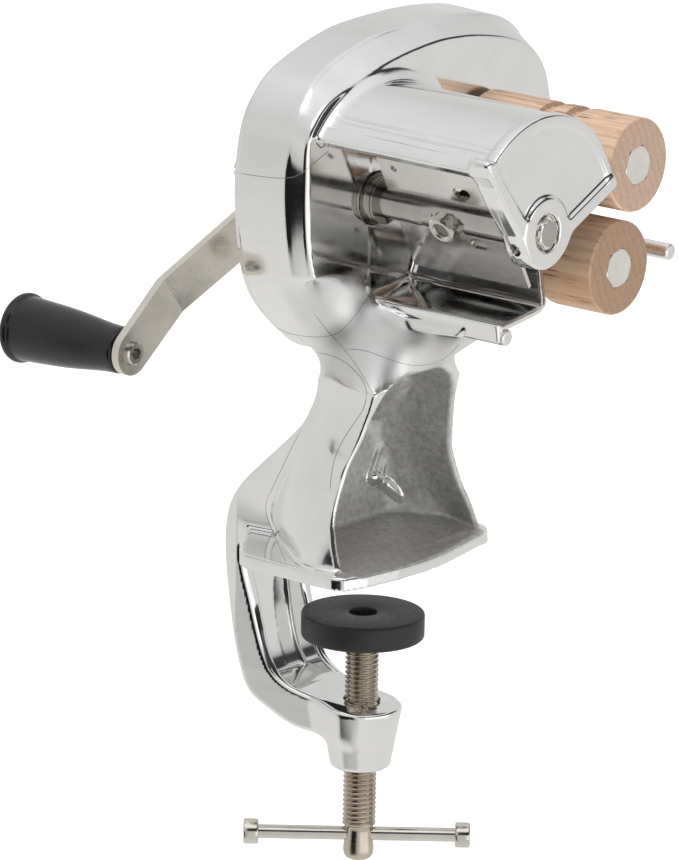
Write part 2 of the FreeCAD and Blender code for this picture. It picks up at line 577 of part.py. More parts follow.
ft = flat_h.v
bolt = along(Part.makeCylinder(2.5, 2 * ft + 3.6, V(0, 0, 0), V(0, 0, 1)), -ft).fuse(along(hexprism(8.0, 3.4), -ft - 3.4))
dome = Part.makeCone(7.2, 4.9, 2.3, V(0, 0, 2.3), V(0, 0, 1)).fuse(Part.makeCylinder(7.2, 2.3, V(0, 0, 0), V(0, 0, 1)))
nut = along(hexprism(10.0, 4.8).common(dome).cut(Part.makeCylinder(2.5, 10, V(0, 0, -1), V(0, 0, 1))), ft)
hole = along(Part.makeCylinder(2.5, 40, V(0, 0, -20), V(0, 0, 1)), 0)
feature("blade_bolt", bolt.removeSplitter())
feature("blade_nut", nut.removeSplitter())


def cross_hole(b, name, x=None, r=0.0, rad=2.5):
    """A hole through a piece of the rotor, square to the blade, at x and r along the upper wing."""
    doc.recompute()
    v = b.Shape.Volume
    s = b.newObject("Sketcher::SketchObject", name + "_sketch")
    s.AttachmentSupport = [(role_plane(b, "XY_Plane"), "")]
    s.MapMode = "FlatFace"
    s.AttachmentOffset = FreeCAD.Placement(V(0, 0, 0), FreeCAD.Rotation(V(0, 0, 1), V(0, un[0], un[1])))
    doc.recompute()
    # the sketch axes follow the turn, so the centre is found from its placement
    c = s.Placement.inverse().multVec(V(nut_x.v if x is None else x, r * vn[0], r * vn[1]))
    add_circle(s, c.x, c.y, rad)
    p = b.newObject("PartDesign::Pocket", name)
    p.Profile = s
    p.Type = 1
    p.Midplane = True
    b.Tip = p
    doc.recompute()
    print(name, "removes", round(v - b.Shape.Volume, 1), "mm3")


cross_hole(b, "bolt_hole_shaft")
cross_hole(bb, "bolt_hole_blade")
for k, sgn in (("upper", 1), ("lower", -1)):
    cross_hole(bb, k + "_small_hole", 16.2, 16.4 * sgn, 1.3)
    for i, dx in enumerate((-1.5, 0.0, 1.5)):
        cross_hole(bb, "%s_long_hole_%d" % (k, i), 44.0 + dx, 11.0 * sgn, 2.2)

washers = [cyl(8.4, x, x + 0.9, 0, axis_z).cut(cyl(sr.v, 0, 10, 0, axis_z)) for x in (4.75, 5.95)]
feature("crank_thrust_washers", Part.makeCompound(washers))
lathe("crank_front_bush", [(-3.5, sr + fit_c), (4.6, sr + fit_c), (4.6, 8.2), (2.4, 8.2), (2.4, 9.0), (-3.5, 9.0)], (0, 0, axis_z))
lathe("crank_rear_bush", [(-33.0, sr + fit_c), (-26.0, sr + fit_c), (-26.0, 8.5), (-33.0, 8.5)], (0, 0, axis_z))

# ---------------------------------------------------------------- gears


def gear(m, n, start, bore, x0, x1):
    """A spur gear with involute flanks, from X = 0; start is the direction of one tooth's middle, in radians."""
    n = int(n)
    pa = math.radians(25.0)
    rp = m * n / 2
    rb, ra, rf = rp * math.cos(pa), rp + 0.9 * m, rp - 1.15 * m
    half = math.pi / (2 * n) - 0.10 / rp
    inv = math.tan(pa) - pa

    def thick(r):
        if r <= rb:
            return half + inv
        q = math.acos(rb / r)
        return half + inv - (math.tan(q) - q)

    radii = [rf, max(rb, rf + 0.05), (max(rb, rf) + ra) / 2, ra]
    pts = []
    for k in range(n):
        c = start + 2 * math.pi * k / n
        pts += [V(0, r * math.cos(c - thick(r)), r * math.sin(c - thick(r))) for r in radii]
        pts += [V(0, r * math.cos(c + thick(r)), r * math.sin(c + thick(r))) for r in radii[::-1]]
    return poly(pts).extrude(V(val(x1) - val(x0), 0, 0)).cut(cyl(bore, -1, 60))


def mate(start_a, ca, na, cb, nb):
    """The direction of a tooth of gear b that lies in mesh with gear a."""
    phi = math.atan2(cb[1] - ca[1], cb[0] - ca[0])
    step = 2 * math.pi / na
    d = (start_a - phi) % step
    ra, rb = na / 2.0, nb / 2.0
    return phi + math.pi - (ra * d + math.pi / 2) / rb


m = module_.v
pc, pi_, pu, pl = (0.0, axis_z.v), (id_y.v, id_z.v), (up_y.v, up_z.v), (lo_y.v, lo_z.v)
t_p1 = 0.0
t_g2 = mate(t_p1, pc, n_p1.v, pi_, n_g2.v)
t_p2 = 0.2
t_g3 = mate(t_p2, pi_, n_p2.v, pu, n_g3.v)
t_us = 0.1
t_ls = mate(t_us, pu, n_sy.v, pl, n_sy.v)
nr = neck_d / 2
feature("drive_pinion", gear(m, n_p1.v, t_p1, sr, -25.5, -18.5), (-25.5,) + pc)
feature("intermediate_gear", gear(m, n_g2.v, t_g2, 6.0, -25.5, -18.5), (-25.5,) + pi_)
ip = gear(m, n_p2.v, t_p2, 4.0 + fit_c.v, 0.0, 8.9).fuse(cyl(6.0, -7.1, 0.0).cut(cyl(4.0 + fit_c.v, -10, 10)))
feature("intermediate_pinion", ip.removeSplitter(), (-18.4,) + pi_)
lathe("intermediate_shaft", [(-31.0, 0), (-31.0, 4.0), (0.5, 4.0), (0.5, 0)], (0, id_y, id_z))
feature("roller_drive_gear", gear(m, n_g3.v, t_g3, nr, -17.0, -9.7), (-17.0,) + pu)
feature("upper_sync_gear", gear(m, n_sy.v, t_us, nr, -8.6, -3.0), (-8.6,) + pu)
feature("lower_sync_gear", gear(m, n_sy.v, t_ls, nr, -8.6, -3.0), (-8.6,) + pl)

# ---------------------------------------------------------------- roller shafts, bushes and rollers
for nm, y, z in (("upper", up_y, up_z), ("lower", lo_y, lo_z)):
    lathe(nm + "_roller_shaft", [(-30.6, 0), (-30.6, nr), (-2.6, nr), (-2.6, 6.0), (3.6, 6.0), (3.6, 0)], (0, y, z))
    pad_x(NODES[-1], nm + "_hexagon", 3.6, roller_x1 - 3.6, [hexagon(hex_af, 12.0)])
    if nm == "upper":
        prof = [(roller_x0, 7.0), (roller_x0, roller_r - 0.8), (roller_x0 + 0.8, roller_r), (31.2, roller_r), (32.6, roller_r - 1.2), (34.0, roller_r - 2.2), (35.4, roller_r - 1.2), (36.6, roller_r), (42.4, roller_r),
                (43.6, roller_r - 1.2), (45.0, roller_r - 2.2), (46.4, roller_r - 1.0), (47.6, roller_r + 0.0), (roller_x1 - 0.8, roller_r), (roller_x1, roller_r - 0.8), (roller_x1, 7.0)]
    else:
        prof = [(roller_x0, 7.0), (roller_x0, 14.0), (roller_x0 + 0.8, 14.8), (36.0, 14.8), (37.6, 13.2), (39.5, 12.2), (42.0, 12.2), (44.4, 13.6), (46.4, 15.9), (48.2, roller_r), (roller_x1 - 0.8, roller_r), (roller_x1, roller_r - 0.8), (roller_x1, 7.0)]
    prof = [(p_[0], 0.0) if p_[1] == 7.0 else p_ for p_ in prof]
    lathe(nm + "_roller", prof, (0, y, z))
    cut_x(NODES[-1], nm + "_hexagon_bore", 0.0, 80.0, [hexagon(hex_af + 2 * fit_c, 12.0)])

fb, rb_ = [], []
for y, z in ((up_y, up_z), (lo_y, lo_z)):
    fb.append(cyl(8.5, -2.5, 2.0, y, z).fuse(cyl(10.2, 2.0, 3.0, y, z)).cut(cyl(6.0 + fit_c.v, -5, 5, y, z)).removeSplitter())
    rb_.append(cyl(7.5, -31.0, -26.0, y, z).cut(cyl(5.0 + fit_c.v, -32, -20, y, z)))
feature("roller_front_bushes", Part.makeCompound(fb))
feature("roller_rear_bushes", Part.makeCompound(rb_))
for nm, y, z, x in (("upper", up_y, up_z, -18.4), ("lower", lo_y, lo_z, -10.2)):
    c = cyl(7.2, x, x + 1.0, y, z).cut(cyl(nr, -30, 0, y, z)).cut(Part.makeBox(4, 5, 9, V(x - 1, val(y) - 2.5, val(z) - 8.5)))
    feature(nm + "_shaft_clip", c)

# ---------------------------------------------------------------- crank arm and grip
ar, aw, at = arm_r.v, arm_w.v, arm_t.v
x1, x0, xb = arm_x1.v, arm_x0.v, arm_bend.v
side = [(ar + 8.0, x1), (xb, x1), (10.0, x0), (-9.0, x0), (-9.0, x0 - at), (10.4, x0 - at), (xb + 0.3, x1 - at), (ar + 8.0, x1 - at)]
blank = poly([V(x, r, 0) for r, x in side]).extrude(V(0, 0, 30))
blank.translate(V(0, 0, -15))
plan = Part.Face(Part.Wire([
    Part.LineSegment(V(-70, 0, 9.0), V(-70, ar, aw / 2)).toShape(),
    Part.Arc(V(-70, ar, aw / 2), V(-70, ar + aw / 2, 0), V(-70, ar, -aw / 2)).toShape(),
    Part.LineSegment(V(-70, ar, -aw / 2), V(-70, 0, -9.0)).toShape(),
    Part.Arc(V(-70, 0, -9.0), V(-70, -9.0, 0), V(-70, 0, 9.0)).toShape()])).extrude(V(60, 0, 0))
arm = blank.common(plan)
arm = arm.cut(cyl(3.55, -70, 0, ar, 0)).cut(cyl(4.6, -70, 0, 0, 0))
arm_rot = FreeCAD.Rotation(V(1, 0, 0), arm_ang.v)
feature("crank_arm", arm.removeSplitter(), (0, 0, axis_z), arm_rot)
cn = hexprism(13.0, 6.5)
cn.Placement = FreeCAD.Placement(V(x0 - at, 0, axis_z.v), FreeCAD.Rotation(V(0, 0, 1), V(-1, 0, 0)))
feature("crank_nut", cn.cut(cyl(4.0, -60, 0, 0, axis_z)))

ph = polar(ar, arm_ang, 0, axis_z)
hy = dim("handle_axis_y", ph[0])
hz = dim("handle_axis_height", ph[1])
doc.recompute()
g0 = x1 - at - 0.9
lathe("handle_grip", [(g0, 3.1), (g0, 7.0), (g0 - 1.2, 8.2), (g0 - 8, 8.5), (g0 - 16, 9.4), (g0 - 24, 10.3), (g0 - 34, 10.9), (g0 - 43.5, 11.4), (g0 - 44.6, 11.5), (g0 - 45.0, 12.0), (g0 - 46.0, 12.4), (g0 - 47.2, 12.3), (g0 - 48.2, 11.4), (g0 - 48.8, 8.0), (g0 - 49.1, 0.0),
                      (g0 - 30.2, 0.0), (g0 - 30.2, 4.5), (g0 - 12.0, 4.5), (g0 - 12.0, 3.1)], (0, hy, hz))
lathe("handle_insert", [(g0 - 12.0, 2.5), (g0 - 30.0, 2.5), (g0 - 30.0, 4.5), (g0 - 12.0, 4.5)], (0, hy, hz))
lathe("handle_washer", [(g0 + 0.05, 3.1), (g0 + 0.05, 6.8), (g0 + 0.85, 6.8), (g0 + 0.85, 3.1)], (0, hy, hz))
lathe("handle_screw", [(x1 + 1.4, 0), (x1 + 1.4, 3.6), (x1 + 0.9, 4.2), (x1 + 0.05, 4.2), (x1 + 0.05, 3.5), (x1 - at - 0.05, 3.5), (x1 - at - 0.05, 3.05), (g0 - 12.0, 3.05), (g0 - 12.0, 2.5), (g0 - 29.0, 2.5), (g0 - 29.0, 0)], (0, hy, hz))
cut_x(NODES[-1], "socket", x1 - 2.0, 5.0, [hexagon(4.0, 0.0)])

# ---------------------------------------------------------------- check and write
doc.recompute()
bad = []
for o in doc.Objects:
    st = [q for q in o.State if q in ("Invalid", "Error")]
    if st:
        bad.append("%s: %s" % (o.Name, st))
labels = set()
for o in NODES:
    sh = o.Shape
    if sh.isNull() or not sh.isValid() or not sh.Solids:
        bad.append("%s: shape null %s valid %s solids %d" % (o.Label, sh.isNull(), sh.isValid() if not sh.isNull() else None, len(sh.Solids)))
    if o.Label in labels:
        bad.append("label twice: " + o.Label)
    labels.add(o.Label)
if bad:
    raise RuntimeError("not written: " + "; ".join(bad))
for o in NODES:
    o.Shape.exportStep("parts/%s.step" % o.Label)
print(len(NODES), "nodes written")
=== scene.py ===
import bpy
import bmesh
import math
import numpy as np
from mathutils import Matrix, Vector


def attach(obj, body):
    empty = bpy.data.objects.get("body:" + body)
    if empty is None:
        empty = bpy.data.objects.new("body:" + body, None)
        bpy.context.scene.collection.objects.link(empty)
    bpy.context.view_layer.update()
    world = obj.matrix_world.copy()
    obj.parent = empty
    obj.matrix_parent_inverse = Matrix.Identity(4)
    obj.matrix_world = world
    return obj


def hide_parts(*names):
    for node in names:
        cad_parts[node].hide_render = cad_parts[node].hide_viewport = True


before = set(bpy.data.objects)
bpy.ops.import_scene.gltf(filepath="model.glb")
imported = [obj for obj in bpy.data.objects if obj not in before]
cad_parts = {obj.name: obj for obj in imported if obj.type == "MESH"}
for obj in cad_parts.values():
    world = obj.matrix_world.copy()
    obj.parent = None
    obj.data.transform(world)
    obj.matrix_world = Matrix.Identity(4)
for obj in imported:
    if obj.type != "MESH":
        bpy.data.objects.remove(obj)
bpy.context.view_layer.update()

MM = 0.001
AXZ = 127.4                                   # crank axis height, millimetres
UP_Y, UP_Z, LO_Y, LO_Z = 58.0, 140.5, 48.8, 105.695
DEG = math.pi / 180.0


# ------------------------------------------------------------------ small curve helpers
def closed_spline(pts, n=8):
    """Centripetal Catmull-Rom through a closed list of points, n steps a span."""
    p = np.asarray(pts, float)
    m = len(p)
    out = []
    for i in range(m):
        a, b, c, d = p[(i - 1) % m], p[i], p[(i + 1) % m], p[(i + 2) % m]
        t0 = 0.0
        t1 = t0 + max(np.linalg.norm(b - a), 1e-6) ** 0.5
        t2 = t1 + max(np.linalg.norm(c - b), 1e-6) ** 0.5
        t3 = t2 + max(np.linalg.norm(d - c), 1e-6) ** 0.5
        for k in range(n):
            t = t1 + (t2 - t1) * k / n
            a1 = (t1 - t) / (t1 - t0) * a + (t - t0) / (t1 - t0) * b
            a2 = (t2 - t) / (t2 - t1) * b + (t - t1) / (t2 - t1) * c
            a3 = (t3 - t) / (t3 - t2) * c + (t - t2) / (t3 - t2) * d
            b1 = (t2 - t) / (t2 - t0) * a1 + (t - t0) / (t2 - t0) * a2
            b2 = (t3 - t) / (t3 - t1) * a2 + (t - t1) / (t3 - t1) * a3
            out.append((t2 - t) / (t2 - t1) * b1 + (t - t1) / (t2 - t1) * b2)
    return np.array(out)


def open_spline(pts, n=8):
    p = [tuple(q) for q in pts]
    a = tuple(2 * np.array(p[0]) - np.array(p[1]))
    b = tuple(2 * np.array(p[-1]) - np.array(p[-2]))
    full = closed_spline([a] + p + [b], n)
    return np.vstack([full[n:n * len(p)], [p[-1]]])


def fillet_line(pts, radii, n=5, closed=False):
    """A polyline with its corners rounded; radii is one number or one for each point."""
    p = [np.array(q, float) for q in pts]
    m = len(p)
    if not hasattr(radii, "__len__"):
        radii = [radii] * m
    out = []
    for i in range(m):
        r = radii[i]
        if r <= 0 or (not closed and i in (0, m - 1)):
            out.append(p[i])
            continue
        a, b = p[i - 1] - p[i], p[(i + 1) % m] - p[i]
        la, lb = np.linalg.norm(a), np.linalg.norm(b)
        a, b = a / la, b / lb
        ang = math.acos(max(-1.0, min(1.0, float(a.dot(b)))))
        if ang > math.pi - 0.02:
            out.append(p[i])
            continue
        t = min(r / math.tan(ang / 2), 0.48 * la, 0.48 * lb)
        rr = t * math.tan(ang / 2)
        mid = (a + b) / np.linalg.norm(a + b)
        c = p[i] + mid * (rr / math.sin(ang / 2))
        s, e = p[i] + a * t - c, p[i] + b * t - c
        th = math.acos(max(-1.0, min(1.0, float(s.dot(e)) / (rr * rr))))
        for k in range(n + 1):
            w = k / n
            out.append(c + (math.sin((1 - w) * th) * s + math.sin(w * th) * e) / math.sin(th))
    return [tuple(q) for q in out]


def pchip(xs, ys):
    """Monotone cubic interpolation, as a function of an array."""
    x, y = np.asarray(xs, float), np.asarray(ys, float)
    h = np.diff(x)
    dlt = np.diff(y) / h
    m = np.zeros_like(y)
    m[0], m[-1] = dlt[0], dlt[-1]
    for i in range(1, len(y) - 1):
        if dlt[i - 1] * dlt[i] > 0:
            w1, w2 = 2 * h[i] + h[i - 1], h[i] + 2 * h[i - 1]
            m[i] = (w1 + w2) / (w1 / dlt[i - 1] + w2 / dlt[i])
    def f(t):
        t = np.clip(t, x[0], x[-1])
        i = np.clip(np.searchsorted(x, t, side="right") - 1, 0, len(h) - 1)
        s = (t - x[i]) / h[i]
        return ((2 * s ** 3 - 3 * s ** 2 + 1) * y[i] + (s ** 3 - 2 * s ** 2 + s) * h[i] * m[i]
                + (-2 * s ** 3 + 3 * s ** 2) * y[i + 1] + (s ** 3 - s ** 2) * h[i] * m[i + 1])
    return f


# ------------------------------------------------------------------ distance-field helpers (millimetres)
class Outline:
    """Signed distance to a closed outline, kept in a smoothed table and read with cubic interpolation."""

    def __init__(self, pts, sigma=0.7, h=0.5, pad=16.0):
        p = np.asarray(pts, float)
        lo, hi = p.min(0) - pad, p.max(0) + pad
        n = np.ceil((hi - lo) / h).astype(int) + 1
        gu = lo[0] + h * np.arange(n[0])
        gv = lo[1] + h * np.arange(n[1])
        U, W = np.meshgrid(gu, gv, indexing="ij")
        u, w = U.ravel(), W.ravel()
        best = np.full(u.shape, 1e18)
        inside = np.zeros(u.shape, bool)
        q = np.roll(p, -1, axis=0)
        for a, b in zip(p, q):
            d = b - a
            l2 = max(float(d.dot(d)), 1e-12)
            t = np.clip(((u - a[0]) * d[0] + (w - a[1]) * d[1]) / l2, 0, 1)
            dd = (u - a[0] - t * d[0]) ** 2 + (w - a[1] - t * d[1]) ** 2
            np.minimum(best, dd, out=best)
            if a[1] != b[1]:
                c = (w < a[1]) != (w < b[1])
                xx = a[0] + (w - a[1]) * d[0] / (b[1] - a[1])
                inside ^= c & (u < xx)
        T = np.sqrt(best) * np.where(inside, -1.0, 1.0)
        T = T.reshape(U.shape)
        if sigma > 0:
            r = int(math.ceil(3 * sigma / h))
            k = np.exp(-0.5 * (np.arange(-r, r + 1) * h / sigma) ** 2)
            k /= k.sum()
            for ax in (0, 1):
                Tp = np.pad(T, [(r, r) if i == ax else (0, 0) for i in (0, 1)], mode="reflect", reflect_type="odd")
                S = np.zeros_like(T)
                for j, kk in enumerate(k):
                    S += kk * (Tp[j:j + T.shape[0], :] if ax == 0 else Tp[:, j:j + T.shape[1]])
                T = S
        self.T, self.lo, self.h, self.n = T, lo, h, n

    def __call__(self, u, w):
        x = np.clip((u - self.lo[0]) / self.h, 1.001, self.n[0] - 2.001)
        y = np.clip((w - self.lo[1]) / self.h, 1.001, self.n[1] - 2.001)
        # outside the table the distance to it is added
        ex = (u - self.lo[0]) / self.h - x
        ey = (w - self.lo[1]) / self.h - y
        i, j = np.floor(x).astype(np.int32), np.floor(y).astype(np.int32)
        s, t = x - i, y - j
        def wts(s):
            return (0.5 * (-s + 2 * s * s - s ** 3), 0.5 * (2 - 5 * s * s + 3 * s ** 3),
                    0.5 * (s + 4 * s * s - 3 * s ** 3), 0.5 * (-s * s + s ** 3))
        a, b = wts(s), wts(t)
        flat = self.T.ravel()
        ny = self.T.shape[1]
        out = 0.0
        for k in range(4):
            base = (i + k - 1) * ny + j - 1
            row = b[0] * flat[base] + b[1] * flat[base + 1] + b[2] * flat[base + 2] + b[3] * flat[base + 3]
            out = out + a[k] * row
        return out + np.hypot(ex, ey) * self.h


def smin(a, b, k):
    h = np.maximum(k - np.abs(a - b), 0.0) / k
    return np.minimum(a, b) - h * h * k * 0.25


def smax(a, b, k):
    h = np.maximum(k - np.abs(a - b), 0.0) / k
    return np.maximum(a, b) + h * h * k * 0.25


def rmax(a, b, r):
    """Intersection with a true round of radius r."""
    x, y = a + r, b + r
    return np.minimum(np.maximum(x, y), 0.0) + np.hypot(np.maximum(x, 0), np.maximum(y, 0)) - r


def rmin(a, b, r):
    return -rmax(-a, -b, r)


def step(t):
    t = np.clip(t, 0, 1)
    return t * t * (3 - 2 * t)


def seg_dist(u, w, a, b):
    """Distance to a segment in a plane, and the position along it (0 to 1)."""
    d = (b[0] - a[0], b[1] - a[1])
    t = np.clip(((u - a[0]) * d[0] + (w - a[1]) * d[1]) / (d[0] ** 2 + d[1] ** 2), 0, 1)
    return np.hypot(u - a[0] - t * d[0], w - a[1] - t * d[1]), t


def chain_dist(u, w, pts):
    out = None
    for a, b in zip(pts[:-1], pts[1:]):
        d, _ = seg_dist(u, w, a, b)
        out = d if out is None else np.minimum(out, d)
    return out


# ------------------------------------------------------------------ surface from a distance field
def surface_nets(field, lo, hi, h, coarse=4, steps=3):
    """A closed quad mesh of field = 0, its points moved onto the surface, with the field's own normals."""
    lo, hi = np.array(lo, float), np.array(hi, float)
    n = (np.ceil((hi - lo) / (h * coarse)).astype(int)) * coarse + 1
    ax = [lo[i] + h * np.arange(n[i]) for i in range(3)]
    c = [a[::coarse] for a in ax]
    G = np.meshgrid(*c, indexing="ij")
    fc = field(G[0].ravel(), G[1].ravel(), G[2].ravel()).reshape(G[0].shape)
    F = np.empty(tuple(n), np.float32)
    # far points take the coarse value, points near the surface are computed
    idx = [np.minimum((np.arange(n[i]) + coarse // 2) // coarse, len(c[i]) - 1) for i in range(3)]
    F[:] = fc[np.ix_(*idx)]
    near = np.abs(F) < h * coarse * 1.35
    ii = np.nonzero(near)
    vals = np.empty(len(ii[0]), np.float32)
    for s in range(0, len(vals), 600000):
        e = s + 600000
        vals[s:e] = field(ax[0][ii[0][s:e]], ax[1][ii[1][s:e]], ax[2][ii[2][s:e]])
    F[ii] = vals
    S = F < 0
    m = S[:-1, :-1, :-1].astype(np.int8)
    cnt = np.zeros(m.shape, np.int8)
    for a in (0, 1):
        for b in (0, 1):
            for d in (0, 1):
                cnt += S[a:n[0] - 1 + a, b:n[1] - 1 + b, d:n[2] - 1 + d]
    act = (cnt > 0) & (cnt < 8)
    cells = np.nonzero(act)
    vid = np.full(act.shape, -1, np.int32)
    vid[cells] = np.arange(len(cells[0]))
    acc = np.zeros((len(cells[0]), 3))
    num = np.zeros(len(cells[0]))
    i0, j0, k0 = cells
    off = [(a, b, d) for a in (0, 1) for b in (0, 1) for d in (0, 1)]
    for p in range(8):
        for q in range(p + 1, 8):
            A, B = off[p], off[q]
            if sum(abs(x - y) for x, y in zip(A, B)) != 1:
                continue
            fa = F[i0 + A[0], j0 + A[1], k0 + A[2]].astype(float)
            fb = F[i0 + B[0], j0 + B[1], k0 + B[2]].astype(float)
            x = (fa < 0) != (fb < 0)
            t = np.where(x, fa / np.where(x, fa - fb, 1.0), 0.0)
            for d in range(3):
                acc[:, d] += np.where(x, A[d] + t * (B[d] - A[d]), 0.0)
            num += x
    P = acc / num[:, None] + np.stack([i0, j0, k0], 1)
    P = lo + P * h
    faces = []
    for d in range(3):
        e1, e2 = [x for x in range(3) if x != d]
        A = S[tuple(slice(0, n[x] - 1) if x == d else slice(1, n[x] - 1) for x in range(3))]
        B = S[tuple(slice(1, n[x]) if x == d else slice(1, n[x] - 1) for x in range(3))]
        for sgn in (0, 1):
            hit = np.nonzero(A & ~B if sgn else B & ~A)
            q = []
            for o1, o2 in ((-1, -1), (0, -1), (0, 0), (-1, 0)):
                ix = [None] * 3
                ix[d] = hit[d]
                ix[e1] = hit[e1] + 1 + o1
                ix[e2] = hit[e2] + 1 + o2
                q.append(vid[ix[0], ix[1], ix[2]])
            q = np.stack(q, 1)
            flip = (sgn == 0) != (d == 1)
            faces.append(q[:, ::-1] if flip else q)
    Q = np.vstack(faces)
    P0 = P.copy()
    eps = 0.12
    N = grad(field, P, eps)
    for it in range(steps):
        f = ev(field, P)
        g = np.linalg.norm(N, axis=1)
        mv = -(f / np.maximum(g, 0.3))[:, None] * (N / np.maximum(g, 1e-6)[:, None])
        l = np.linalg.norm(mv, axis=1)
        mv *= np.minimum(1.0, 0.5 * h / np.maximum(l, 1e-9))[:, None]
        P = P + mv
        D = P - P0
        l = np.linalg.norm(D, axis=1)
        P = P0 + D * np.minimum(1.0, 0.95 * h / np.maximum(l, 1e-9))[:, None]
        N = grad(field, P, eps)
    N /= np.maximum(np.linalg.norm(N, axis=1), 1e-9)[:, None]
    return P, Q, N


def ev(field, P):
    out = np.empty(len(P))
    for s in range(0, len(P), 400000):
        e = s + 400000
        out[s:e] = field(P[s:e, 0], P[s:e, 1], P[s:e, 2])
    return out


def grad(field, P, eps):
    N = np.empty_like(P)
    for d in range(3):
        o = np.zeros(3)
        o[d] = eps
        N[:, d] = (ev(field, P + o) - ev(field, P - o)) / (2 * eps)
    return N
# ------------------------------------------------------------------ the casting, as one distance field (millimetres)
CASE_R = [(-39.9, 138.6), (-38.6, 149.6), (-36.0, 158.0), (-31.6, 165.0), (-27.3, 169.3), (-22.5, 172.3), (-12.7, 176.2), (-2.1, 179.5), (8.6, 181.9),
          (18, 182.8), (31, 183.35), (45, 183.4), (60, 182.5), (76, 179.8), (88, 174.5), (96, 165.5), (100.2, 153), (101.15, 139), (99.8, 125),
          (95.5, 113), (88.5, 103.5), (81, 94.5), (71, 85), (59, 77.5), (44, 73.5), (30, 71.5), (16, 70), (2, 69.5),
          (-8, 72.5), (-17, 79), (-25.5, 87), (-33.4, 98), (-37.4, 111), (-39.4, 124)]
CASE_F = [(-38.0, 140), (-38.1, 150.0), (-36.7, 155.8), (-32.6, 161.2), (-29.4, 164.2), (-25.4, 166.5), (-20.7, 168.2), (-15.4, 169.8), (-4.7, 173.0), (6.1, 175.3), (16.9, 177.1),
          (33.3, 178.6), (44.4, 178.3), (55.7, 177.1), (72.7, 173.5), (84.3, 168.9), (93.4, 160.0), (97.3, 149.0), (98.5, 139), (97, 126),
          (92.5, 115), (86, 105), (79, 96), (70, 87), (58, 80), (44, 76), (30, 74), (16, 73), (2, 73.5),
          (-9, 76.6), (-18.6, 82.6), (-27.2, 90.6), (-33.2, 101.5), (-36.6, 114), (-37.9, 127)]
o_rear = Outline(closed_spline(CASE_R, 8), 0.9)
o_front = Outline(closed_spline(CASE_F, 8), 0.8)


case_w = pchip([-30.0, -0.035, 0.0, 0.13, 0.34, 0.62, 1.0, 1.5], [0.0, 0.0, 0.012, 0.20, 0.395, 0.640, 1.0, 1.45])


def case_outline(X, Y, Z):
    left = step((-Y - 12.0) / 20.0)
    xc = -8.6 + 2.6 * left
    w = case_w((X - xc) / (2.0 - xc))
    return (o_rear(Y, Z) + 0.045 * np.maximum(X + 27.0, 0.0)) * (1 - w) + (o_front(Y, Z) + 0.8) * w


def case_edge(Y, Z):
    """Radius of the front edge: small at the top, a large soft bulge low down on the left."""
    e = 0.9 + 0.4 * step((-Y - 22.0) / 12.0) * step((168.0 - Z) / 12.0)
    return e + 9.0 * step((106.0 - Z) / 22.0) * step((30.0 - Y) / 14.0)


def f_case(X, Y, Z):
    d = case_outline(X, Y, Z)
    edge = case_edge(Y, Z)
    out = rmax(d, X - 2.0, edge)
    out = rmax(out, -27.0 - X, 0.6)
    inner = smax(rmax(d + 3.4, X + 1.0, np.maximum(edge - 3.0, 1.2)), -29.0 - X, 0.5)
    return smax(out, -inner, 1.2)


# hood, end plate and hub
A0, A1 = 17 * DEG, 142 * DEG
PLATE = [(-32.6, 156.6), (-22.6, 139.8), (-14.4, 129.0), (-11.0, 120.0), (0.0, 115.4), (10.0, 119.6), (14.2, 125.6), (38.2, 137.2),
         (36.6, 141.0), (30.0, 149.5)]
arc = [(40.4 * math.cos(a), AXZ + 40.4 * math.sin(a)) for a in np.linspace(40 * DEG, 134 * DEG, 40)]
o_plate = Outline(np.array(PLATE + arc), 0.5)
o_hubside = Outline(np.array(fillet_line([(-33.4, 155.6), (-32.4, 157.2), (-30.0, 156.2), (-12.6, 134.6), (-8.0, 131.0), (8.0, 131.0), (12.0, 129.6), (36.2, 141.2), (38.2, 138.9),
                                          (38.0, 137.2), (14.6, 125.8), (11.6, 121.5), (8.6, 118.6), (4.0, 116.0), (0.0, 115.4), (-4.0, 116.0), (-8.6, 118.6), (-11.6, 124.0), (-14.4, 128.6), (-22.4, 139.2)], 0.8, 4, True)), 0.4)


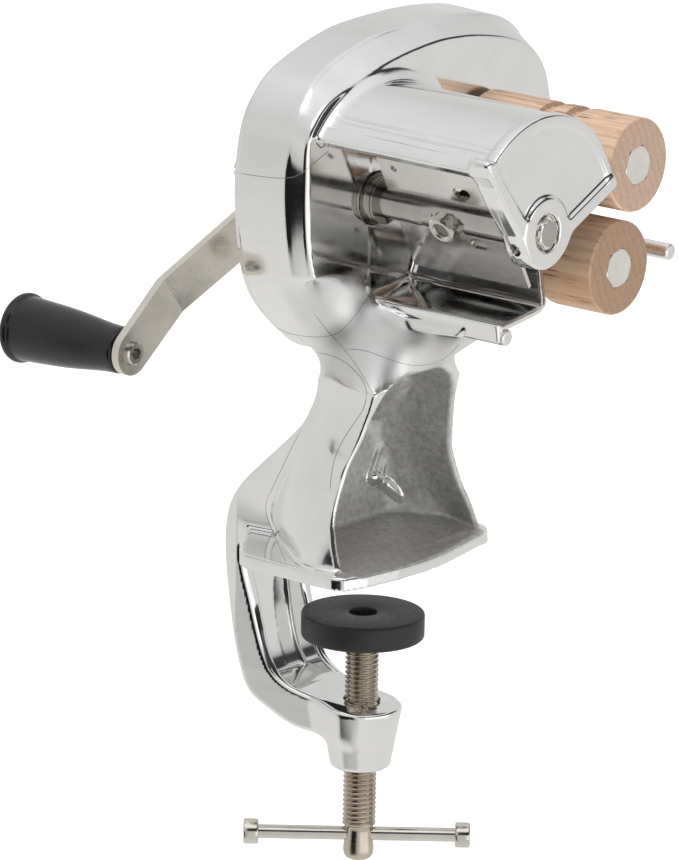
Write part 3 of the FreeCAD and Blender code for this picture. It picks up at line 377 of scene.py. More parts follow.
def f_hood(X, Y, Z):
    z = Z - AXZ
    r = np.hypot(Y, z)
    R = 41.5 - 1.5 * (X - 10) / 66.0
    d0 = Y * math.sin(A0) - z * math.cos(A0)
    d1 = -Y * math.sin(A1) + z * math.cos(A1)
    wedge = smax(d0, d1, 1.5)
    th = np.arctan2(z, Y) / DEG
    # two fine grooves along the left side, and a step down to the thicker edge
    grooves = 0.30 * (np.exp(-((th - 126.7) / 0.55) ** 2) + np.exp(-((th - 130.2) / 0.55) ** 2)) * step((73.0 - X) / 3.0)
    outer = r - (R - grooves + 0.55 * step((th - 133.9) / 1.1))
    inner = (R - 3.0 - 1.2 * step((th - 132.0) / 3.0)) - r
    shell = smax(outer, inner, 0.5)
    shell = rmax(shell, wedge, 0.9)
    shell = smax(shell, X - 75.4, 1.0)
    shell = smax(shell, -2.0 - X, 0.5)
    # a hollow fillet from the wall to the hood, its foot a clean line on the wall
    tc = np.clip((X - 2.0) / 8.5, 0.0, 1.0)
    foot = 43.2 + 4.6 * step((128.0 - th) / 84.0)
    rc = 40.8 + (foot - 40.8) * (1.0 - tc) ** 2.2
    collar = smax(smax(r - rc, 38.4 - r, 0.5), X - 10.5, 0.5)
    collar = smax(smax(collar, wedge + 0.6, 0.8), 0.5 - X, 0.3)
    shell = smin(shell, collar, 0.5)
    # end plate, a little behind the rim and the hub
    pl = o_plate(Y, Z)
    plate = smax(smax(pl, X - 75.0, 1.4), 72.0 - X, 1.0)
    rim = o_hubside(Y, Z)
    draft = (76.0 - X) * 0.10
    rim = smax(smax(rim - draft, X - 76.6, 1.0), 68.2 - X, 1.0)
    hub = smax(smax(r - 12.0, X - 76.6, 1.4), 67.6 - X, 1.2)
    rim = smin(rim, hub, 1.5)
    top = smin(smin(shell, plate, 1.6), rim, 2.6)
    # bores: shaft, set screw
    top = smax(top, -(r - 6.55), 0.7)
    c2, s2 = math.cos(200 * DEG), math.sin(200 * DEG)
    along = Y * c2 + z * s2
    off = np.hypot(X - 72.2, -Y * s2 + z * c2)
    top = smax(top, -smax(off - 2.3, 5.0 - along, 0.3), 0.6)
    return top


# outlet trough
TROUGH = [(36.0, 121.5), (33.0, 118.5), (25.5, 109.0), (21.3, 100.2), (19.8, 97.2), (16.6, 95.3), (8.0, 94.0), (-3.2, 92.6)]
t_line = open_spline([(34.0, 119.6), (30.0, 114.8), (25.5, 109.0), (22.6, 103.2), (20.9, 98.8), (19.2, 96.2), (16.6, 95.2), (10.0, 94.3), (3.0, 93.4), (-3.0, 92.65)], 5)
t_len = np.concatenate([[0], np.cumsum(np.hypot(*np.diff(t_line, axis=0).T))])


def strip(line, t):
    p = np.array(line)
    d = np.gradient(p, axis=0)
    d /= np.linalg.norm(d, axis=1)[:, None]
    nrm = np.stack([-d[:, 1], d[:, 0]], 1)
    return np.vstack([p, (p + nrm * t)[::-1]])


# the strip lies outside (below) the measured inner line
t_poly = strip(t_line, 2.4)
if t_poly[len(t_line)][1] > t_line[-1][1]:
    t_poly = strip(t_line, -2.4)
o_trough = Outline(t_poly, 0.35, 0.4)
o_lip = Outline(np.array(fillet_line([(-5.6, 93.2), (-4.6, 94.0), (-3.0, 93.6), (-2.6, 92.0), (-3.0, 86.6), (-4.4, 86.6)], 0.5, 4, True)), 0.3, 0.4)


def f_trough(X, Y, Z):
    end = 60.3 - np.maximum(Z - 96.0, 0.0) * 0.5
    t = smax(o_trough(Y, Z), X - end, 0.9)
    l = smax(o_lip(Y, Z), X - 60.4, 0.9)
    t = smin(t, l, 1.4)
    return smax(t, -1.0 - X, 0.5)


# pedestal
P_Z = [0.0, 5.0, 8.0, 12.0, 16.0, 20.0, 25.0, 30.0, 35.0, 40.0, 45.0, 50.0, 55.0, 60.0, 65.0, 70.0, 77.0, 86.0, 94.0]
P_FX = [22.6, 20.6, 19.4, 17.9, 16.4, 14.9, 14.2, 14.1, 14.4, 15.4, 16.9, 18.5, 19.8, 21.3, 22.6, 23.4, 22.6, 18.0, 12.0]
P_FY = [40.4, 39.7, 39.3, 38.9, 38.1, 36.9, 35.0, 33.0, 31.0, 29.7, 27.8, 26.2, 25.0, 24.2, 24.0, 23.6, 22.8, 21.0, 18.0]
p_fx, p_fy = pchip(P_Z, P_FX), pchip(P_Z, P_FY)
p_sx = pchip([0, 5, 12, 20, 30, 40, 50, 60, 68, 77, 90], [8.0, 7.0, 5.0, 2.0, -1.0, -1.0, 1.0, 3.0, 3.0, 1.0, -3.0])
p_sy = pchip([0, 5, 12, 20, 30, 40, 50, 60, 68, 77, 90], [43.0, 42.4, 40.5, 36.5, 31.2, 27.2, 24.4, 22.8, 22.2, 21.8, 21.0])
p_rx = pchip([0, 5, 12, 20, 30, 40, 50, 60, 68, 77, 90], [-25.0, -26.0, -29.0, -27.0, -22.5, -18.0, -13.0, -8.5, -9.0, -16.0, -24.0])
p_ry = pchip([0, 5, 12, 20, 30, 40, 50, 60, 68, 77, 90], [17.5, 17.2, 17.0, 17.0, 17.0, 17.0, 17.0, 17.2, 17.6, 18.2, 19.0])


def plane2(x, y, ax, ay, bx, by):
    """Distance to the line a to b in a level, outside positive for a loop that runs front to rear on the +Y side."""
    tx, ty = bx - ax, by - ay
    l = np.sqrt(tx * tx + ty * ty)
    return ((x - ax) * ty - (y - ay) * tx) / l


def f_ped_outer(X, Y, Z):
    y = np.abs(Y)
    fx, fy, sx, sy, rx, ry = p_fx(Z), p_fy(Z), p_sx(Z), p_sy(Z), p_rx(Z), p_ry(Z)
    s1 = plane2(X, y, fx, fy, sx, sy)
    s2 = plane2(X, y, sx, sy, rx, ry)
    side = smax(s1, s2, 7.0)
    d = rmax(side, X - fx, 1.5)
    d = rmax(d, rx - X, 3.0)
    top = (Z - (89.0 + 0.95 * np.minimum(Y + 5.0, 0.0))) * 0.725
    return smax(smax(d, top, 6.0), -Z, 0.6)


C_Z = [0, 3, 5, 8, 12, 20, 30, 40, 50, 56, 60, 64, 68, 72]
c_top = pchip(C_Z, [0, 0, 0, 0, 0, 0, 0, 0, 0, 0.0, 0.8, 3.0, 7.6, 13.0])


def f_cavity(X, Y, Z):
    y = np.abs(Y)
    fx, fy, sx, sy, rx, ry = p_fx(Z), p_fy(Z), p_sx(Z), p_sy(Z), p_rx(Z), p_ry(Z)
    tp = c_top(Z)
    s1 = plane2(X, y, fx, fy - 3.0 - tp, sx, sy - 3.6 - tp)
    s2 = plane2(X, y, sx, sy - 3.6 - tp, rx + 4.5, ry - 3.2 - tp * 0.9)
    # in front of the rim the walls run on forwards
    s1 = np.where(X > fx, y - (fy - 3.0 - tp), s1)
    side = smax(s1, s2, 3.0)
    back = np.maximum(rx + 5.5 + 0.30 * np.maximum(Z - 40.0, 0), -10.0) - X
    d = rmax(side, back, 3.0)
    d = rmax(d, 5.0 + 0.10 * np.clip(20.0 - X, 0.0, 30.0) - Z, 1.6)
    d = smax(d, Z - 69.0, 4.0)
    # two ribs down the rear wall, with lumps of flash at their foot
    for a, b, rr in RIBS:
        d = smax(d, rr - capsule(X, Y, Z, a, b), 0.8)
    return d


def capsule(X, Y, Z, a, b):
    d = np.subtract(b, a)
    t = np.clip(((X - a[0]) * d[0] + (Y - a[1]) * d[1] + (Z - a[2]) * d[2]) / float(d.dot(d)), 0, 1)
    return np.sqrt((X - a[0] - t * d[0]) ** 2 + (Y - a[1] - t * d[1]) ** 2 + (Z - a[2] - t * d[2]) ** 2)


RIBS = [((-9.6, 27.0, 49.0), (-9.8, 15.0, 24.0), 1.1), ((-9.4, 30.0, 48.5), (-9.8, 20.0, 22.0), 1.0),
        ((-9.4, 22.5, 18.4), (-7.0, 33.0, 9.6), 2.3), ((-9.5, 15.5, 22.6), (-9.5, 17.2, 21.6), 2.4), ((-9.3, 19.8, 20.4), (-9.3, 20.2, 19.4), 1.9),
        ((-5.6, 34.6, 8.2), (-5.4, 35.0, 8.0), 1.7)]


FOOT = [(-40.8, -17.6), (-38.0, -18.2), (-22.0, -41.6), (-18.0, -43.9), (22.0, -44.2), (26.0, -42.0), (28.4, -34.0), (30.6, -18.0), (31.1, -4.0), (30.0, 8.0), (27.4, 21.0), (24.5, 35.0),
        (22.6, 41.0), (19.0, 43.9), (-18.0, 43.9), (-22.0, 41.6), (-38.0, 18.2), (-40.8, 17.6)]
o_foot = Outline(np.array(fillet_line(FOOT, 3.0, 5, True)), 0.5)

SP_OUT = [(-8.9, 72.0), (-8.4, 66), (-8.8, 62), (-10.5, 56.5), (-13.9, 49.4), (-20.5, 42), (-33.9, 29.4), (-42.9, 20.4), (-47.4, 13.4), (-49.1, 7.5), (-49.9, -2), (-47.6, -23), (-44, -41), (-39, -55), (-31, -60.4),
          (-20.5, -65), (-10.0, -66), (3.0, -66.2)]
SP_IN = [(3.0, -54.2), (-5, -53.4), (-14, -52), (-22, -50.0), (-27.7, -46.4), (-31.6, -40), (-37.5, -21), (-41, -9), (-41.4, -2.0), (-37.0, 1.8), (-26.0, 3.0), (-16.0, 8.0), (-10.0, 22.0), (-6.0, 40.0), (-1.0, 54.0), (2.0, 62.0), (2.0, 72.0)]
o_spine = Outline(np.vstack([open_spline(SP_OUT, 6), open_spline(SP_IN, 6)]), 0.9)


def f_clamp(X, Y, Z):
    y = np.abs(Y)
    hw = 17.4 - 5.4 * np.clip((X + 44.0) / 46.0, 0.0, 1.0) * step((20.0 - Z) / 12.0) - 0.05 * np.maximum(-Z - 46.0, 0.0)
    d = rmax(o_spine(X, Z), y - hw, 1.9)
    # channel on the inner side of the spine
    inner = o_spine(X, Z)
    depth = -inner                                     # how deep below the surface
    ch = np.maximum(y - 11.6, -(Z + 50.5 - 0.0 * X))
    ch = smax(ch, Z + 5.0, 1.5)
    face = -(X + 44.2 + 0.10 * (Z + 5.0) * -1.0)        # floor of the channel
    floor_x = pch_floor(Z)
    ch = smax(ch, floor_x - X, 1.6)
    ch = smax(ch, X + 20.0, 1.0)
    d = smax(d, -ch, 1.6)
    boss_r = 10.5 + (14.6 - 10.5) * np.clip((Z + 78.0) / 23.0, -0.2, 1.2)
    boss = rmax(rmax(np.hypot(X, Y) - boss_r, Z + 55.0, 1.6), -78.0 - Z, 1.6)
    d = smin(d, boss, 5.0)
    return smax(d, -smax(np.hypot(X, Y) - 6.15, Z + 50.0, 0.5), 0.6)


pch_floor = pchip([-66, -52, -46, -38, -23, -5, 10], [-24.0, -34.5, -38.6, -41.4, -44.4, -46.2, -46.6])


b_low = pchip([-12, -6, 4, 15, 30, 38, 44, 48], [71.0, 72.5, 74.0, 72.6, 73.6, 78.6, 84.0, 89.0])
b_left = pchip([-8, 0, 10, 20, 30, 46], [-7.6, -7.2, -6.8, -6.4, -6.0, -5.4])


def f_belly(X, Y, Z):
    """The scoop that carries the trough, from the neck out under the lip."""
    d = rmax(b_low(X) - Z, b_left(X) - Y, 5.0)
    d = smax(d, Z - 90.5, 2.0)
    d = smax(smax(d, Y - 19.0, 3.0), X - 47.0, 2.5)
    return smax(d, -4.0 - X, 2.0)


def f_casting(X, Y, Z):
    case = f_case(X, Y, Z)
    hood = f_hood(X, Y, Z)
    d = smin(case, hood, 0.9)
    tr = f_trough(X, Y, Z)
    d = smin(d, tr, 2.5)
    # the scoop runs into the wall with a wide hollow fillet on its left
    bel = smin(case, f_belly(X, Y, Z), 13.0)
    bel = smax(bel, -smax(o_above(Y, Z) - 0.2, 2.0 - X, 0.8), 0.8)
    d = smin(d, bel, 1.0)
    ped = f_ped_outer(X, Y, Z)
    foot = smax(smax(o_foot(X, Y), Z - 5.0, 1.6), -Z, 0.6)
    base = smin(ped, foot, 2.2)
    base = smin(base, f_clamp(X, Y, Z), 3.0)
    # the pedestal stays outside the hollow of the case and out of the trough's channel
    o = case_outline(X, Y, Z)
    hollow = rmax(o + 3.0, X + 1.2, np.maximum(case_edge(Y, Z) - 3.0, 1.0))
    base = smax(base, -hollow, 1.0)
    chan = smax(o_above(Y, Z), -(X - 1.0), 1.0)
    base = smax(base, -chan, 1.0)
    d = smin(d, base, 7.0)
    d = smax(d, -f_cavity(X, Y, Z), 1.6)
    z = Z - AXZ
    # bores in the front wall
    d = smax(d, -smax(np.hypot(Y, z) - 9.1, np.abs(X) - 6.0, 0.4), 0.5)
    for cy, cz in ((UP_Y, UP_Z), (LO_Y, LO_Z)):
        d = smax(d, -smax(np.hypot(Y - cy, Z - cz) - 8.6, np.abs(X) - 6.0, 0.4), 0.5)
    return d


# the open space above the trough's inner line
o_above = Outline(np.vstack([t_line, [(-3.4, 92.6), (-3.4, 150.0), (40.0, 150.0)]]), 0.3, 0.6)
# ------------------------------------------------------------------ node helpers
def new_mat(name):
    m = bpy.data.materials.new(name)
    m.use_nodes = True
    nt = m.node_tree
    nt.nodes.clear()
    out = nt.nodes.new("ShaderNodeOutputMaterial")
    b = nt.nodes.new("ShaderNodeBsdfPrincipled")
    nt.links.new(b.outputs[0], out.inputs[0])
    return m, nt, b


def nd(nt, kind, **kw):
    n = nt.nodes.new("ShaderNode" + kind)
    for k, v in kw.items():
        if k.startswith("i_"):
            key = k[2:]
            n.inputs[int(key) if key.isdigit() else key.replace("_", " ")].default_value = v
        else:
            setattr(n, k, v)
    return n


def link(nt, a, b):
    nt.links.new(a, b)


def coords(nt, scale=(1, 1, 1), loc=(0, 0, 0), rot=(0, 0, 0)):
    t = nd(nt, "TexCoord")
    m = nd(nt, "Mapping", vector_type="POINT")
    m.inputs["Location"].default_value = loc
    m.inputs["Rotation"].default_value = rot
    m.inputs["Scale"].default_value = scale
    link(nt, t.outputs["Object"], m.inputs["Vector"])
    return m.outputs[0]


def noise(nt, vec, scale, detail=3.0, rough=0.5, dist=0.0):
    n = nd(nt, "TexNoise")
    n.inputs["Scale"].default_value = scale
    n.inputs["Detail"].default_value = detail
    n.inputs["Roughness"].default_value = rough
    n.inputs["Distortion"].default_value = dist
    link(nt, vec, n.inputs["Vector"])
    return n.outputs["Fac"]


def rng(nt, val, a, b, c, d, smooth=False):
    n = nd(nt, "MapRange", interpolation_type="SMOOTHSTEP" if smooth else "LINEAR")
    for i, v in enumerate((a, b, c, d)):
        n.inputs[i + 1].default_value = v
    link(nt, val, n.inputs[0])
    return n.outputs[0]


def math_(nt, op, a, b=None, clamp=False):
    n = nd(nt, "Math", operation=op, use_clamp=clamp)
    for i, v in enumerate((a, b)):
        if v is None:
            continue
        if isinstance(v, (int, float)):
            n.inputs[i].default_value = v
        else:
            link(nt, v, n.inputs[i])
    return n.outputs[0]


def ramp(nt, val, stops, mode="LINEAR"):
    n = nd(nt, "ValToRGB")
    cr = n.color_ramp
    cr.interpolation = mode
    while len(cr.elements) > 2:
        cr.elements.remove(cr.elements[-1])
    while len(cr.elements) < len(stops):
        cr.elements.new(0.5)
    for e, (p, c) in zip(cr.elements, stops):
        e.position = p
        e.color = (c[0], c[1], c[2], 1.0)
    link(nt, val, n.inputs[0])
    return n.outputs[0]


def mix(nt, fac, a, b, mode="MIX"):
    n = nd(nt, "Mix", data_type="RGBA", blend_type=mode)
    for key, v in ((0, fac), (6, a), (7, b)):
        if isinstance(v, (int, float)):
            n.inputs[key].default_value = v
        elif isinstance(v, tuple):
            n.inputs[key].default_value = (v[0], v[1], v[2], 1.0)
        else:
            link(nt, v, n.inputs[key])
    return n.outputs[2]


def bump(nt, height, strength, dist, prev=None):
    n = nd(nt, "Bump")
    n.inputs["Strength"].default_value = strength
    n.inputs["Distance"].default_value = dist
    link(nt, height, n.inputs["Height"])
    if prev is not None:
        link(nt, prev, n.inputs["Normal"])
    return n.outputs[0]


# ------------------------------------------------------------------ materials
def metal(name, lo, hi, r0, r1, bump_s=0.02, scale=120.0, fine=900.0, wave=0.0):
    """Polished metal: colour and roughness drift a little, with fine scratches and a soft waviness."""
    m, nt, b = new_mat(name)
    v = coords(nt)
    big = noise(nt, v, scale, 3, 0.55)
    small = noise(nt, v, fine, 4, 0.6)
    b.inputs["Metallic"].default_value = 1.0
    link(nt, ramp(nt, big, [(0.25, lo), (0.8, hi)]), b.inputs["Base Color"])
    rr = math_(nt, "ADD", rng(nt, big, 0.3, 0.75, r0, r1), rng(nt, small, 0.45, 0.75, 0.0, (r1 - r0) * 0.6))
    link(nt, rr, b.inputs["Roughness"])
    n = bump(nt, small, bump_s, 0.0002)
    if wave > 0:
        n = bump(nt, noise(nt, v, 55.0, 2, 0.4), wave, 0.002, n)
    link(nt, n, b.inputs["Normal"])
    return m


def cast_material():
    """Polished cast aluminium outside, matte as-cast skin where the attribute says so."""
    m, nt, b = new_mat("cast_aluminium_polished")
    v = coords(nt)
    at = nd(nt, "Attribute", attribute_name="matte")
    fac = at.outputs["Fac"]
    big = noise(nt, v, 70.0, 3, 0.5)
    small = noise(nt, v, 1100.0, 4, 0.6)
    pit = noise(nt, v, 420.0, 5, 0.65)
    b.inputs["Metallic"].default_value = 1.0
    # drawn-out polishing streaks and a faint haze
    sm = nd(nt, "Mapping", vector_type="POINT")
    sm.inputs["Scale"].default_value = (0.10, 1.0, 1.0)
    sm.inputs["Rotation"].default_value = (0.0, 0.35, 0.2)
    tc = nd(nt, "TexCoord")
    link(nt, tc.outputs["Object"], sm.inputs["Vector"])
    streak = noise(nt, sm.outputs[0], 380.0, 4, 0.6)
    pol = ramp(nt, big, [(0.25, (0.835, 0.835, 0.83)), (0.8, (0.895, 0.895, 0.89))])
    pol = mix(nt, rng(nt, streak, 0.50, 0.74, 0.0, 0.10), pol, (0.70, 0.70, 0.695))
    # painted shade: the wall behind the rotor, under the hood, is darkened in its base colour to stand for the shade
    # and dark reflections there
    sh = nd(nt, "Attribute", attribute_name="shade")
    pol = mix(nt, math_(nt, "MULTIPLY", sh.outputs["Fac"], rng(nt, streak, 0.35, 0.65, 1.0, 0.72)), pol, (0.33, 0.335, 0.35))
    raw = ramp(nt, pit, [(0.25, (0.36, 0.355, 0.345)), (0.5, (0.52, 0.515, 0.50)), (0.8, (0.68, 0.675, 0.66))])
    link(nt, mix(nt, fac, pol, raw), b.inputs["Base Color"])
    link(nt, rng(nt, fac, 0.0, 1.0, 1.0, 0.70), b.inputs["Metallic"])
    rp = math_(nt, "ADD", rng(nt, big, 0.3, 0.75, 0.07, 0.12), rng(nt, streak, 0.45, 0.8, 0.0, 0.05))
    rm = rng(nt, pit, 0.3, 0.8, 0.38, 0.52)
    sat = nd(nt, "Attribute", attribute_name="satin")
    rp = math_(nt, "ADD", rp, math_(nt, "MULTIPLY", sat.outputs["Fac"], rng(nt, big, 0.3, 0.75, 0.34, 0.42)))
    mr = nd(nt, "Mix", data_type="FLOAT")
    link(nt, fac, mr.inputs[0])
    link(nt, rp, mr.inputs[2])
    link(nt, rm, mr.inputs[3])
    link(nt, mr.outputs[0], b.inputs["Roughness"])
    hgt = math_(nt, "MULTIPLY", pit, fac)
    n = bump(nt, small, 0.012, 0.0002)
    n = bump(nt, hgt, 0.5, 0.0005, n)
    link(nt, n, b.inputs["Normal"])
    return m


def wood(name, cy, cz, seed, tone_and_shade=(1.0, 1.0, 1.0)):
    """Beech turned along X: fine grain lines, darker flecks and pores, end grain with rings on the faces."""
    m, nt, b = new_mat(name)
    t = nd(nt, "TexCoord")
    mp = nd(nt, "Mapping", vector_type="POINT")
    mp.inputs["Location"].default_value = (0.0, -cy * MM, -cz * MM)
    link(nt, t.outputs["Object"], mp.inputs["Vector"])
    p = mp.outputs[0]
    # stretched coordinates along the grain
    st = nd(nt, "Mapping", vector_type="POINT")
    st.inputs["Scale"].default_value = (0.09, 1.0, 1.0)
    st.inputs["Location"].default_value = (seed * 0.013, seed * 0.0071, seed * 0.0043)
    link(nt, p, st.inputs["Vector"])
    s = st.outputs[0]
    # growth layers: a tilted, warped plane family
    warp = noise(nt, s, 26.0, 2, 0.5)
    sep = nd(nt, "SeparateXYZ")
    link(nt, p, sep.inputs[0])
    lay = math_(nt, "ADD", math_(nt, "MULTIPLY", sep.outputs[1], 0.92), math_(nt, "MULTIPLY", sep.outputs[2], 0.40))
    lay = math_(nt, "ADD", lay, math_(nt, "MULTIPLY", warp, 0.0075))
    ring = math_(nt, "SINE", math_(nt, "MULTIPLY", lay, 2 * math.pi / 0.0032))
    ring = rng(nt, ring, -1.0, 1.0, 0.0, 1.0)
    fibre = noise(nt, s, 420.0, 4, 0.6)
    band = noise(nt, s, 60.0, 3, 0.5)
    col = ramp(nt, band, [(0.2, (0.64, 0.425, 0.300)), (0.5, (0.74, 0.525, 0.385)), (0.8, (0.82, 0.62, 0.475))])
    col = mix(nt, rng(nt, ring, 0.55, 1.0, 0.0, 0.38, True), col, (0.50, 0.30, 0.175))
    col = mix(nt, rng(nt, fibre, 0.50, 0.68, 0.0, 0.55), col, (0.46, 0.275, 0.17))
    # short dark pores drawn out along the grain
    pm = nd(nt, "Mapping", vector_type="POINT")
    pm.inputs["Scale"].default_value = (0.11, 1.0, 1.0)
    link(nt, p, pm.inputs["Vector"])
    vo = nd(nt, "TexVoronoi", feature="F1")
    vo.inputs["Scale"].default_value = 620.0
    vo.inputs["Randomness"].default_value = 1.0
    link(nt, pm.outputs[0], vo.inputs["Vector"])
    pore = rng(nt, vo.outputs["Distance"], 0.14, 0.32, 1.0, 0.0)
    gate = rng(nt, noise(nt, pm.outputs[0], 160.0, 2, 0.5), 0.44, 0.54, 0.0, 1.0)
    pore = math_(nt, "MULTIPLY", pore, gate)
    col = mix(nt, math_(nt, "MULTIPLY", pore, 0.85), col, (0.22, 0.11, 0.06))
    # end grain: darker, with dots
    geo = nd(nt, "NewGeometry")
    gs = nd(nt, "SeparateXYZ")
    link(nt, geo.outputs["True Normal"], gs.inputs[0])
    endf = rng(nt, math_(nt, "ABSOLUTE", gs.outputs[0]), 0.75, 0.95, 0.0, 1.0)
    ve = nd(nt, "TexVoronoi", feature="F1")
    ve.inputs["Scale"].default_value = 1300.0
    link(nt, p, ve.inputs["Vector"])
    dots = rng(nt, ve.outputs["Distance"], 0.06, 0.34, 1.0, 0.0)
    ecol = ramp(nt, noise(nt, p, 1100.0, 2, 0.6), [(0.25, (0.42, 0.285, 0.205)), (0.75, (0.54, 0.39, 0.295))])
    ecol = mix(nt, rng(nt, ring, 0.3, 1.0, 0.0, 0.18), ecol, (0.30, 0.18, 0.115))
    ecol = mix(nt, math_(nt, "MULTIPLY", dots, 0.40), ecol, (0.22, 0.125, 0.075))
    col = mix(nt, endf, col, ecol)
    # overall colour factor; for the lower roller it is partly darker wood, partly painted shade
    if tone_and_shade != (1.0, 1.0, 1.0):
        col = mix(nt, 1.0, col, tone_and_shade, "MULTIPLY")
    link(nt, col, b.inputs["Base Color"])
    b.inputs["Specular IOR Level"].default_value = 0.35
    link(nt, rng(nt, fibre, 0.3, 0.7, 0.52, 0.68), b.inputs["Roughness"])
    h = math_(nt, "SUBTRACT", math_(nt, "MULTIPLY", fibre, 0.5), pore)
    link(nt, bump(nt, h, 0.35, 0.00025), b.inputs["Normal"])
    return m


def plastic(name, col, r0, r1, spec=0.5, bscale=600.0, bs=0.05, coat=0.0):
    m, nt, b = new_mat(name)
    v = coords(nt)
    n1 = noise(nt, v, bscale, 4, 0.6)
    n2 = noise(nt, v, 45.0, 2, 0.5)
    lo = tuple(c * 0.8 for c in col)
    hi = tuple(min(1, c * 1.25) for c in col)
    link(nt, ramp(nt, n2, [(0.2, lo), (0.8, hi)]), b.inputs["Base Color"])
    link(nt, rng(nt, n1, 0.3, 0.7, r0, r1), b.inputs["Roughness"])
    b.inputs["Specular IOR Level"].default_value = spec
    if coat:
        b.inputs["Coat Weight"].default_value = coat
        b.inputs["Coat Roughness"].default_value = 0.06
    link(nt, bump(nt, n1, bs, 0.0002), b.inputs["Normal"])
    return m


M_CAST = cast_material()
M_COVER = metal("cast_cover_polished", (0.82, 0.82, 0.815), (0.89, 0.89, 0.885), 0.05, 0.10, 0.012)
M_NICKEL = metal("nickel_plate", (0.74, 0.71, 0.66), (0.82, 0.79, 0.745), 0.10, 0.19, 0.03)
M_CLAMP = metal("clamp_nickel", (0.52, 0.46, 0.385), (0.62, 0.56, 0.475), 0.16, 0.28, 0.05)
M_BLADE = metal("blade_sheet", (0.70, 0.69, 0.665), (0.78, 0.77, 0.745), 0.13, 0.24, 0.04)
M_SHAFT = metal("shaft_steel", (0.44, 0.43, 0.41), (0.54, 0.525, 0.50), 0.10, 0.18, 0.03)
M_DARK = metal("dark_steel", (0.20, 0.19, 0.175), (0.30, 0.285, 0.265), 0.22, 0.36, 0.05)
M_GEAR = metal("gear_steel", (0.46, 0.45, 0.43), (0.56, 0.55, 0.53), 0.22, 0.36, 0.05)
M_RING = metal("washer_steel", (0.34, 0.325, 0.30), (0.46, 0.44, 0.41), 0.14, 0.24, 0.04)
M_ARM = metal("arm_nickel", (0.68, 0.645, 0.585), (0.77, 0.735, 0.67), 0.17, 0.27, 0.04)
M_BAR = metal("bar_nickel", (0.60, 0.58, 0.53), (0.70, 0.68, 0.62), 0.07, 0.13, 0.03)
# flash ridges are geometry; their dark metal colour is painted shade along the seams and creases
M_SEAM = metal("flash_ridge_painted_shade", (0.22, 0.22, 0.215), (0.42, 0.42, 0.41), 0.22, 0.34, 0.03)
M_HEX = metal("hex_nickel", (0.80, 0.775, 0.735), (0.87, 0.845, 0.80), 0.16, 0.27, 0.05, 260.0)
M_ROD = metal("rod_steel", (0.80, 0.79, 0.77), (0.88, 0.87, 0.85), 0.20, 0.30, 0.03)
M_NUT = metal("nut_nickel", (0.56, 0.53, 0.49), (0.66, 0.63, 0.585), 0.14, 0.24, 0.04)
M_BRONZE = metal("bearing_bronze", (0.48, 0.34, 0.19), (0.58, 0.42, 0.25), 0.25, 0.38, 0.05)
M_WOOD_U = wood("beech_upper", UP_Y, UP_Z, 1.0)
# lower roller beech darkened all over: partly a darker wood, partly painted shade from the upper roller and the hood
# above it
M_WOOD_L = wood("beech_lower", LO_Y, LO_Z, 7.0, (0.74, 0.69, 0.62))
M_GRIP = plastic("black_grip", (0.006, 0.006, 0.007), 0.12, 0.20, 0.5, 300.0, 0.02)
M_PAD = plastic("black_pad", (0.014, 0.0135, 0.0135), 0.40, 0.54, 0.45, 900.0, 0.12)
REC_GRIP, REC_PAD = "handle_plastic", "pad_plastic"

NODE_MATS = {
    "gear_case": M_CAST, "rear_cover": M_COVER, "cover_screws": M_NICKEL, "rotor_hood": M_CAST, "hub_bush": M_NICKEL, "hub_set_screw": M_DARK,
    "outlet_trough": M_CAST, "outlet_rod": M_NICKEL, "infeed_guide_rod": M_NICKEL, "pedestal": M_CAST, "clamp_frame": M_CAST,
    "crank_front_bush": M_RING, "crank_rear_bush": M_BRONZE, "intermediate_shaft": M_SHAFT, "roller_front_bushes": M_BRONZE, "roller_rear_bushes": M_BRONZE,
    "crank_shaft": M_SHAFT, "crank_thrust_washers": M_RING, "cutter_blade": M_BLADE, "blade_bolt": M_DARK, "blade_nut": M_NICKEL,
    "drive_pinion": M_GEAR, "crank_arm": M_ARM, "crank_nut": M_NICKEL, "handle_grip": M_GRIP, "handle_insert": M_NICKEL, "handle_screw": M_NUT, "handle_washer": M_ARM,
    "intermediate_gear": M_GEAR, "intermediate_pinion": M_GEAR, "upper_roller_shaft": M_NICKEL, "roller_drive_gear": M_GEAR, "upper_sync_gear": M_GEAR, "upper_shaft_clip": M_DARK,
    "lower_roller_shaft": M_NICKEL, "lower_sync_gear": M_GEAR, "lower_shaft_clip": M_DARK, "upper_roller": M_WOOD_U, "lower_roller": M_WOOD_L,
    "clamp_pad": M_PAD, "clamp_screw": M_CLAMP, "pad_clip": M_DARK, "tbar": M_BAR, "tbar_caps": M_BAR,
}
for node_name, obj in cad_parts.items():
    obj.data.materials.clear()
    obj.data.materials.append(NODE_MATS[node_name])
    for poly in obj.data.polygons:
        poly.material_index = 0


# ------------------------------------------------------------------ mesh helpers
def mesh_from(name, P, faces, mat, normals=None, smooth=True, angle=None, scale=MM):
    me = bpy.data.meshes.new(name)
    if isinstance(faces, np.ndarray):
        n = len(faces)
        k = faces.shape[1]
        me.vertices.add(len(P))
        me.vertices.foreach_set("co", (np.asarray(P) * scale).astype(np.float32).ravel())
        me.loops.add(n * k)
        me.loops.foreach_set("vertex_index", faces.astype(np.int32).ravel())
        me.polygons.add(n)
        me.polygons.foreach_set("loop_start", np.arange(0, n * k, k, dtype=np.int32))
        me.update(calc_edges=True)
        me.validate()
    else:
        me.from_pydata([tuple(float(c) * scale for c in q) for q in P], [], [tuple(int(i) for i in f) for f in faces])
        me.validate()
    me.materials.append(mat)
    me.shade_smooth() if smooth else me.shade_flat()
    if angle is not None:
        me.set_sharp_from_angle(angle=angle)
    if normals is not None:
        me.normals_split_custom_set_from_vertices([tuple(q) for q in normals])
    ob = bpy.data.objects.new(name, me)
    bpy.context.scene.collection.objects.link(ob)
    return ob


def set_attr(ob, name, values):
    a = ob.data.attributes.new(name, "FLOAT", "POINT")
    a.data.foreach_set("value", np.asarray(values, np.float32))


